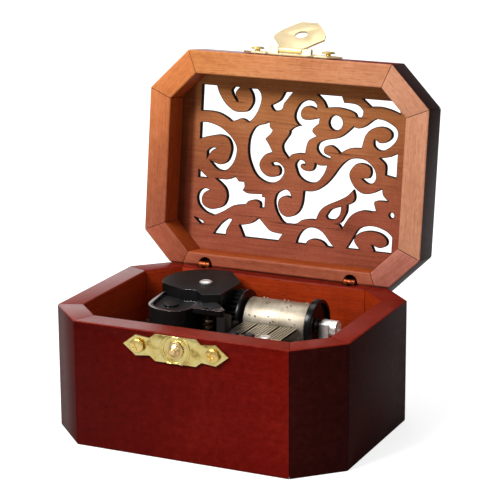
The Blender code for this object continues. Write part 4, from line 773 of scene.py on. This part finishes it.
def face_loops(piece, side):
    """The closed outlines of a flat piece's lower (-1) or upper (1) face, as lists of points."""
    mesh = bmesh.new()
    mesh.from_mesh(piece.data)
    mesh.normal_update()
    face_edges = []
    for edge in mesh.edges:
        if sum(1 for face in edge.link_faces if face.normal.z * side > 0.9) == 1:
            face_edges.append(edge)
    following = {}
    for edge in face_edges:
        for vertex in edge.verts:
            following.setdefault(vertex, []).append(edge)
    left = set(face_edges)
    loops = []
    for start in face_edges:
        if start not in left:
            continue
        left.discard(start)
        first, vertex = start.verts
        loop = [first.co.copy()]
        while vertex is not first:
            loop.append(vertex.co.copy())
            edge = next(item for item in following[vertex] if item in left)
            left.discard(edge)
            vertex = edge.other_vert(vertex)
        loops.append(loop)
    mesh.free()
    return loops


def eased_loop(points, steps, corner):
    """A loop with its gentle bends turned into smooth curves; bends over corner degrees stay sharp."""
    count = len(points)
    sharp = []
    for index, point in enumerate(points):
        before = (point - points[index - 1]).normalized()
        after = (points[(index + 1) % count] - point).normalized()
        sharp.append(before.angle(after) > math.radians(corner))
    eased = []
    for index in range(count):
        second = points[index]
        third = points[(index + 1) % count]
        first = second if sharp[index] else points[index - 1]
        fourth = third if sharp[(index + 1) % count] else points[(index + 2) % count]
        straight = sharp[index] and sharp[(index + 1) % count]
        for step in range(1 if straight else steps):
            t = step / steps
            eased.append(0.5 * (
                2 * second
                + (third - first) * t
                + (2 * first - 5 * second + 4 * third - fourth) * t * t
                + (3 * second - first - 3 * third + fourth) * t * t * t
            ))
    return eased


def burnt_scrollwork():
    """The pierced panel, its curves eased, its edges rounded and scorched by the cutting."""
    flat = node_copy("filigree_panel", "scrollwork_outline")
    flat.data.transform(SHUT_LID)
    loops = face_loops(flat, -1)
    low = min(vertex.co.z for vertex in flat.data.vertices)
    high = max(vertex.co.z for vertex in flat.data.vertices)
    bpy.data.objects.remove(flat)

    rounding = SCROLL_ROUNDING * MM
    outline = bpy.data.curves.new("scrollwork", "CURVE")
    outline.dimensions = "2D"
    outline.fill_mode = "BOTH"
    outline.extrude = (high - low) / 2 - rounding
    outline.bevel_depth = rounding
    outline.bevel_resolution = 1
    outline.offset = -rounding
    for loop in loops:
        points = eased_loop(loop, CURVE_STEPS, SHARPEST_EASED_BEND)
        spline = outline.splines.new("POLY")
        spline.points.add(len(points) - 1)
        for target, point in zip(spline.points, points):
            target.co = (point.x, point.y, 0.0, 1.0)
        spline.use_cyclic_u = True
    panel = bpy.data.objects.new("burnt_scrollwork", outline)
    bpy.context.scene.collection.objects.link(panel)
    pick(panel)
    bpy.ops.object.convert(target="MESH")
    panel.data.transform(Matrix.Translation((0.0, 0.0, (low + high) / 2)))
    bpy.ops.object.mode_set(mode="EDIT")
    bpy.ops.mesh.select_all(action="SELECT")
    bpy.ops.mesh.remove_doubles(threshold=MERGE_DISTANCE * MM)
    bpy.ops.mesh.normals_make_consistent(inside=False)
    bpy.ops.object.mode_set(mode="OBJECT")
    select_faces(panel, lambda face: abs(face.normal.z) > 0.999)
    bpy.ops.mesh.inset(thickness=SCORCH_WIDTH * MM, use_boundary=True, use_even_offset=False)
    bpy.ops.object.mode_set(mode="OBJECT")

    scorch = panel.data.attributes.new("scorch", "FLOAT", "POINT")
    inner = set()
    for face in panel.data.polygons:
        if face.select:
            inner.update(face.vertices)
    for vertex in panel.data.vertices:
        scorch.data[vertex.index].value = 0.0 if vertex.index in inner else 1.0
    panel.data.transform(OPEN_LID)
    smooth(panel)
    shutting = SHUT_LID.to_3x3()
    depths = [(shutting @ vertex.co).y for vertex in panel.data.vertices]
    panel.data.materials.append(scorched_plywood("scorched_plywood", min(depths), max(depths), True))
    panel.data.materials.append(scorched_plywood("scorched_plywood_top", min(depths), max(depths), False))
    for face in panel.data.polygons:
        face.material_index = 1 if (shutting @ face.normal).z > 0.1 else 0
    fit(panel, "lid", None, "walnut", "filigree_panel")


def scorched_plywood(name, front, back, painted_shade):
    """Plywood, tan at its front and redder at its back, black where the cutting burnt its edges.

    The last argument says whether painted shade darkens the panel along the lid's left board.
    """
    finish = Finish(name, (0.3, 0.12, 0.07), 0.5)
    grain_place = finish.mapped(grain_turn(0.0, True))
    fibre_place = finish.mapped(scale=(0.05, 1.0, 1.0), vector=grain_place)
    fibres = finish.noise(1400.0, 4.0, fibre_place, distortion=0.3)
    clouds = finish.noise(45.0, 3.0)
    speckle = finish.noise(2400.0, 2.0)
    streaked = finish.spread(fibres, *NOISE_SPAN, 0.0, 0.3)
    tone = finish.reckon("ADD", streaked, finish.spread(clouds, *NOISE_SPAN, 0.0, 0.4))
    tone = finish.reckon("ADD", tone, finish.spread(speckle, *NOISE_SPAN, 0.0, 0.3))
    tan = finish.tones(
        tone, (0.1, (0.22, 0.078, 0.019)), (0.5, (0.37, 0.138, 0.040)), (0.95, (0.50, 0.22, 0.078)),
    )
    red = finish.tones(
        tone, (0.1, (0.18, 0.040, 0.020)), (0.5, (0.30, 0.074, 0.038)), (0.95, (0.42, 0.13, 0.07)),
    )
    depth = finish.axes(grain_place)["Y"]
    tan_place = front + (back - front) * TAN_SHARE
    red_place = front + (back - front) * RED_SHARE
    colour = finish.mixed(finish.spread(depth, tan_place, red_place), tan, red)
    if painted_shade:
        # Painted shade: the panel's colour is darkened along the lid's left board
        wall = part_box("lid_left_board")[1][0]
        shade_ends = [wall + reach * MM for reach in PANEL_PAINTED_SHADE_REACH]
        tinted = finish.mixed(1.0, colour, PANEL_PAINTED_SHADE_TINT, "MULTIPLY")
        colour = finish.mixed(finish.along((1.0, 0.0, 0.0), *shade_ends), tinted, colour)
    mark = finish.nodes.new("ShaderNodeAttribute")
    mark.attribute_name = "scorch"
    ragged = finish.reckon("ADD", mark.outputs["Fac"], finish.spread(speckle, *NOISE_SPAN, -0.2, 0.2))
    char = finish.spread(ragged, 0.35, 0.85)
    finish.colour(finish.mixed(char, colour, (0.012, 0.005, 0.003)))
    finish.roughness(fibres, 0.5, 0.68)
    finish.bump(fibres, 0.02, 0.3)
    finish.set(Specular_IOR_Level=0.1)
    return finish.material


def cross_head():
    """A domed screw head with a cross recess, standing on the origin."""
    head = turned("cross_head", (
        (SCREW_HEAD - 0.1, 0.0), (SCREW_HEAD, 0.1), (SCREW_HEAD, 0.3), (SCREW_HEAD - 0.12, 0.48),
        (1.95, 0.64), (1.5, 0.76), (0.9, 0.83), (0.3, SCREW_HEAD_HEIGHT),
    ), 40)
    side = CROSS_WIDTH / 2
    bottom = SCREW_HEAD_HEIGHT - CROSS_DEPTH
    for along, across in ((CROSS_ARM, side), (side, CROSS_ARM)):
        arm = block("cross_arm", (-along, -across, bottom), (along, across, CROSS_CUTTER_TOP))
        subtract(head, arm)
    round_edges(head, CROSS_HEAD_ROUNDING, angle=25.0)
    return head


def latch_screws(steel):
    """The four cross-head screws of the two latch plates."""
    head = cross_head()
    for plate, body in (("strike", "case"), ("hasp", "lid")):
        for side, turn in SCREW_TURNS:
            node = f"{plate}_{side}_screw"
            low, high = shut_box(node) if body == "lid" else node_box(node)
            screw = twin(head, node + "_turned")
            shank = turned("screw_shank", SCREW_SHANK, 16)
            joined(screw, [shank])
            foot = low[1] + SCREW_HEAD_HEIGHT
            place = Vector(((low[0] + high[0]) / 2, foot, (low[2] + high[2]) / 2)) * MM
            turning = Matrix.Rotation(math.radians(turn), 4, "Z")
            screw.data.transform(Matrix.Translation(place) @ TO_FRONT @ turning)
            if body == "lid":
                screw.data.transform(OPEN_LID)
            fit(screw, body, steel, "gilt_steel", node)
    bpy.data.objects.remove(head)


def latch(brass, bright_brass):
    """The pressed strike plate, its stud, the hasp's plate and leaf."""
    plate = rounded_copy("strike_plate", "pressed_strike_plate")
    fit(plate, "case", brass, "brass", "strike_plate")
    low, high = node_box("strike_stud")
    stud = turned("turned_stud", STUD_PROFILE)
    rivet = turned("stud_rivet", STUD_RIVET, 16)
    joined(stud, [rivet])
    foot = high[1] - STUD_DEPTH
    place = Vector(((low[0] + high[0]) / 2, foot, (low[2] + high[2]) / 2)) * MM
    stud.data.transform(Matrix.Translation(place) @ TO_FRONT)
    smooth(stud)
    warm_brass = metal("stud_brass", (1.0, 0.76, 0.38), (0.80, 0.52, 0.20), (0.28, 0.38))
    fit(stud, "case", warm_brass, "brass", "strike_stud")
    hasp_plate = rounded_copy("hasp_plate", "pressed_hasp_plate")
    fit(hasp_plate, "lid", bright_brass, "brass", "hasp_plate")
    leaf = rounded_copy("hasp_leaf", "pressed_hasp_leaf")
    fit(leaf, "hasp", bright_brass, "brass", "hasp_leaf")


def pinned_cylinder():
    """The tune cylinder: a brushed shell with its pins."""
    low, high = node_box("cylinder")
    radius = (high[2] - low[2]) / 2 - PIN_RISE
    axis_y = (low[1] + high[1]) / 2
    axis_z = (low[2] + high[2]) / 2
    length = high[0] - low[0]
    shell = turned("pinned_cylinder", (
        (radius - 0.35, 0.0), (radius - 0.1, 0.1), (radius, 0.3), (radius, length - 0.3),
        (radius - 0.1, length - 0.1), (radius - 0.35, length), (1.3, length),
    ), 120)
    tip = radius + PIN_RISE
    pin = turned("tune_pin", (
        (PIN_WIDTH / 2, radius - 0.3), (PIN_WIDTH / 2, tip - 0.07), (PIN_WIDTH / 2 - 0.06, tip),
    ), 8)
    shell.data.materials.append(brushed_champagne())
    pin.data.materials.append(metal("pin_sides", (0.90, 0.86, 0.76), (0.75, 0.70, 0.60), (0.35, 0.45)))
    pin.data.materials.append(metal("pin_tips", (0.12, 0.11, 0.10), (0.05, 0.05, 0.04), (0.2, 0.3)))
    for face in pin.data.polygons:
        face.material_index = 1 if face.normal.z > 0.5 else 0
    pins = []
    x = FIRST_NOTE
    note = 0
    for group in GROUPS:
        for _ in range(group):
            for beat in range(PINS_PER_NOTE):
                angle = note * NOTE_TURN + beat * (PIN_TURN + PIN_TURN_GAIN * (note % GAIN_CYCLE))
                turning = Matrix.Rotation(math.radians(angle), 4, "Z")
                copy = twin(pin, "tune_pin_copy")
                copy.data.transform(turning @ Matrix.Translation((0.0, 0.0, x * MM)) @ ALONG_X)
                pins.append(copy)
            x += NOTE_STEP
            note += 1
        x += GROUP_STEP
    bpy.data.objects.remove(pin)
    joined(shell, pins)
    shell.data.transform(Matrix.Translation(Vector((low[0], axis_y, axis_z)) * MM) @ ALONG_X)
    smooth(shell)
    fit(shell, "cylinder", None, "nickel", "cylinder")


def brushed_champagne():
    """Champagne-coloured plating, brushed round the cylinder."""
    finish = Finish("champagne_nickel", (0.66, 0.60, 0.49), 0.5, 1.0)
    rings = finish.noise(2200.0, 3.0, finish.mapped(scale=(1.0, 0.02, 0.02)))
    haze = finish.noise(160.0, 4.0)
    tone = finish.reckon("ADD", finish.reckon("MULTIPLY", haze, 0.7), finish.reckon("MULTIPLY", rings, 0.3))
    finish.colour(finish.tones(
        finish.spread(tone, 0.35, 0.65),
        (0.0, (0.29, 0.25, 0.18)), (0.5, (0.46, 0.40, 0.31)), (1.0, (0.59, 0.53, 0.43)),
    ))
    finish.roughness(rings, 0.46, 0.6)
    finish.bump(rings, 0.008, 0.6)
    return finish.material


def moulded_housing(black, dull):
    """The spring housing: rounded edges and lobe rim glossy and lighter as painted highlight, flat tops dull.
    """
    housing = rounded_copy("spring_housing", "moulded_housing", 3)
    # Lighter than the black moulding: painted highlight on the rounded edges and the lobe rim, which are also
    # glossier
    highlight_painted = moulded_plastic("painted_highlight_edges", (0.022, 0.022, 0.023), (0.16, 0.24), 0.9)
    for material in (black, highlight_painted, dull):
        housing.data.materials.append(material)
    for face in housing.data.polygons:
        rise = face.normal.z
        on_lobe_rim = rise > LOBE_RIM and abs(face.center.z - LOBE_RIM_HEIGHT * MM) < 0.1 * MM
        face.material_index = 0
        if on_lobe_rim or ROUNDED_EDGE < rise < FLAT_TOP:
            face.material_index = 1
        elif rise > FLAT_TOP:
            face.material_index = 2
    fit(housing, "case", None, "black_plastic", "spring_housing")


def dished_end_disc(black):
    """The black disc at the cylinder's end, dished between its rim and its hub."""
    low, high = node_box("end_disc")
    radius = (high[2] - low[2]) / 2
    width = high[0] - low[0]
    disc = turned("dished_end_disc", (
        (radius - 0.3, 0.0), (radius, 0.3), (radius, width - 0.4), (radius - 0.12, width - 0.12),
        (radius - 0.4, width), (radius - 1.1, width), (radius - 1.3, width - 0.15),
        (radius - 1.4, width - 1.1), (3.3, width - 1.2), (3.0, width - 0.9), (2.7, width - 0.25),
        (1.2, width - 0.2),
    ), 96)
    place = Vector((low[0], (low[1] + high[1]) / 2, (low[2] + high[2]) / 2)) * MM
    disc.data.transform(Matrix.Translation(place) @ ALONG_X)
    smooth(disc)
    fit(disc, "cylinder", black, "black_plastic", "end_disc")


def ground_comb(steel):
    """The comb, ground bright on its flat faces, the sides of its teeth near-black as painted shade between
    them.
    """
    comb = rounded_copy("comb", "ground_comb")
    comb.data.materials.append(steel)
    # Near-black sides and rounded edges of the teeth: painted shade in the gaps between them
    comb.data.materials.append(
        metal("painted_shade_tooth_sides", (0.018, 0.016, 0.014), (0.008, 0.007, 0.006), (0.4, 0.5)),
    )
    for face in comb.data.polygons:
        face.material_index = 0 if abs(face.normal.z) > 0.95 else 1
    fit(comb, "case", None, "steel", "comb")


def movement(black, nickel, steel):
    """The visible parts of the movement, apart from its cylinder."""
    dull = moulded_plastic("dull_moulding", (0.0055, 0.0048, 0.0046), (0.5, 0.6), 0.2)
    moulded_housing(black, dull)
    post = rounded_copy("governor_post", "moulded_post")
    fit(post, "case", dull, "black_plastic", "governor_post")
    gear = rounded_copy("cylinder_gear", "moulded_gear")
    fit(gear, "cylinder", black, "black_plastic", "cylinder_gear")
    dished_end_disc(black)
    bracket = rounded_copy("bearing_bracket", "plated_bracket")
    fit(bracket, "case", nickel, "nickel", "bearing_bracket")
    ground_comb(steel)


def stage():
    """A plain pale floor under soft lamps."""
    bpy.ops.mesh.primitive_plane_add(size=FLOOR_WIDTH, location=(0.0, 0.0, 0.0))
    floor = bpy.context.active_object
    floor.name = "studio_floor"
    paper = Finish("pale_paper", (0.5, 0.5, 0.5), 0.9)
    paper.bump(paper.noise(400.0), 0.05, 0.1)
    floor_glow(paper)
    floor.data.materials.append(paper.material)
    for name, (place, width, power) in STUDIO_LAMPS:
        lamp = bpy.data.lights.new(name + "_lamp", "AREA")
        lamp.shape = "SQUARE"
        lamp.size = width
        lamp.energy = power
        holder = bpy.data.objects.new(name + "_lamp", lamp)
        bpy.context.scene.collection.objects.link(holder)
        holder.location = place
        holder.rotation_euler = (Vector(LAMP_AIM) - Vector(place)).to_track_quat("-Z", "Y").to_euler()


def white_surrounding():
    """A surrounding that looks white to the camera and lights the box only a little."""
    world = bpy.data.worlds.new("white_surrounding")
    world.use_nodes = True
    nodes = world.node_tree.nodes
    links = world.node_tree.links
    lighting = nodes["Background"]
    seen = nodes.new("ShaderNodeBackground")
    for background, strength in ((lighting, SURROUND_LIGHT), (seen, 1.0)):
        background.inputs["Color"].default_value = (1.0, 1.0, 1.0, 1.0)
        background.inputs["Strength"].default_value = strength
    path = nodes.new("ShaderNodeLightPath")
    mix = nodes.new("ShaderNodeMixShader")
    links.new(path.outputs["Is Camera Ray"], mix.inputs["Fac"])
    links.new(lighting.outputs[0], mix.inputs[1])
    links.new(seen.outputs[0], mix.inputs[2])
    links.new(mix.outputs[0], nodes["World Output"].inputs["Surface"])
    bpy.context.scene.world = world
    bpy.context.scene.view_settings.view_transform = "Standard"


def outside_case(paper):
    """A value that is 1 on the floor round the case and 0 under it."""
    low, high = case_corners()
    corner_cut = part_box("front_board")[0][0] - low.x
    half_length = (high.x - low.x) / 2
    half_depth = (high.y - low.y) / 2
    place = paper.axes(paper.object_place)
    along = paper.reckon("SUBTRACT", place["X"], (low.x + high.x) / 2)
    across = paper.reckon("SUBTRACT", place["Y"], (low.y + high.y) / 2)
    along = paper.reckon("ABSOLUTE", along, 0.0)
    across = paper.reckon("ABSOLUTE", across, 0.0)
    inset = FLOOR_GLOW_INSET * MM
    past_side = paper.reckon(
        "MAXIMUM",
        paper.reckon("GREATER_THAN", along, half_length - inset),
        paper.reckon("GREATER_THAN", across, half_depth - inset),
    )
    corner_reach = half_length + half_depth - corner_cut - FLOOR_GLOW_CORNER_INSET * MM
    past_corner = paper.reckon("GREATER_THAN", paper.reckon("ADD", along, across), corner_reach)
    return paper.reckon("MAXIMUM", past_side, past_corner)


def floor_glow(paper):
    """Let the floor look white in the picture, but not under the box, without lighting the box from below."""
    path = paper.nodes.new("ShaderNodeLightPath")
    glow = paper.nodes.new("ShaderNodeEmission")
    strength = paper.reckon("MULTIPLY", outside_case(paper), FLOOR_GLOW)
    paper.links.new(strength, glow.inputs["Strength"])
    both = paper.nodes.new("ShaderNodeAddShader")
    mix = paper.nodes.new("ShaderNodeMixShader")
    paper.links.new(paper.shader.outputs[0], both.inputs[0])
    paper.links.new(glow.outputs[0], both.inputs[1])
    paper.links.new(path.outputs["Is Camera Ray"], mix.inputs["Fac"])
    paper.links.new(paper.shader.outputs[0], mix.inputs[1])
    paper.links.new(both.outputs[0], mix.inputs[2])
    paper.links.new(mix.outputs[0], paper.nodes["Material Output"].inputs["Surface"])


def set_camera():
    """The photograph's view."""
    lens = bpy.data.cameras.new("photograph_camera")
    lens.lens = CAMERA_LENS
    lens.sensor_width = CAMERA_SENSOR
    lens.clip_start = CAMERA_NEAREST
    holder = bpy.data.objects.new("photograph_camera", lens)
    bpy.context.scene.collection.objects.link(holder)
    holder.location = CAMERA_PLACE
    holder.rotation_euler = Euler([math.radians(angle) for angle in CAMERA_TURN])
    bpy.context.scene.camera = holder


# CAD nodes whose finish differs from what their slot is named for
OWN_FINISHES = {
    "hinge_brass": (
        "left_hinge_base_half", "right_hinge_base_half", "left_hinge_lid_half", "right_hinge_lid_half",
    ),
    "bronze": ("governor_wheel", "worm_spindle"),
    "spring_steel": ("comb_screw_1", "comb_screw_2"),
}


def dress_nodes(finishes):
    """Materials for the CAD nodes that keep their own shape."""
    for item in frame["nodes"].values():
        for slot in item.material_slots:
            kind = slot.material.name.split(".")[0]
            slot.material = finishes[kind]
    for kind, nodes in OWN_FINISHES.items():
        for node in nodes:
            for slot in frame["nodes"][node].material_slots:
                slot.material = finishes[kind]


def make_finishes():
    """The finishes of the parts by the record's slot names, and of those with a finish of their own."""
    floor_stain = wood("floor_plywood", (0.0, 0.0, 0.0), FLOOR_STAIN, FLOOR_GLOSS)
    return {
        "brass": relieved_brass(),
        "bright_brass": metal("bright_brass", (0.97, 0.80, 0.49), (0.92, 0.73, 0.40), (0.44, 0.56)),
        "gilt_steel": metal("gilt_screw_steel", (1.0, 0.79, 0.31), (0.90, 0.58, 0.15), (0.26, 0.4)),
        "nickel": metal("bright_nickel", (1.0, 1.0, 0.97), (0.86, 0.85, 0.82), (0.4, 0.54)),
        "steel": metal(
            "comb_steel", (0.60, 0.55, 0.45), (0.38, 0.34, 0.28), (0.28, 0.42),
            1500.0, 0.004, (1.0, 0.08, 1.0),
        ),
        "spring_steel": metal("blued_spring_steel", (0.055, 0.055, 0.062), (0.03, 0.03, 0.04), (0.25, 0.4)),
        "cast_zinc": metal(
            "sand_cast_zinc", (0.30, 0.30, 0.29), (0.18, 0.18, 0.17), (0.45, 0.65), 300.0, 0.05,
        ),
        "black_plastic": moulded_plastic("black_moulding", (0.0042, 0.0042, 0.0044), (0.2, 0.27), 0.2),
        "hinge_brass": metal(
            "old_hinge_brass", (0.32, 0.075, 0.024), (0.12, 0.026, 0.012), (0.36, 0.52), 500.0, 0.03,
        ),
        "bronze": metal("dark_bronze", (0.050, 0.030, 0.015), (0.022, 0.014, 0.008), (0.4, 0.55)),
        "plywood": floor_stain,
        "mahogany": floor_stain,
        "walnut": floor_stain,
    }


def build():
    """The whole picture: camera, studio, finishes and pieces."""
    set_camera()
    stage()
    white_surrounding()
    finishes = make_finishes()
    dress_nodes(finishes)
    dress_boards()
    burnt_scrollwork()
    latch(finishes["brass"], finishes["bright_brass"])
    latch_screws(finishes["gilt_steel"])
    movement(finishes["black_plastic"], finishes["nickel"], finishes["steel"])
    pinned_cylinder()


build()
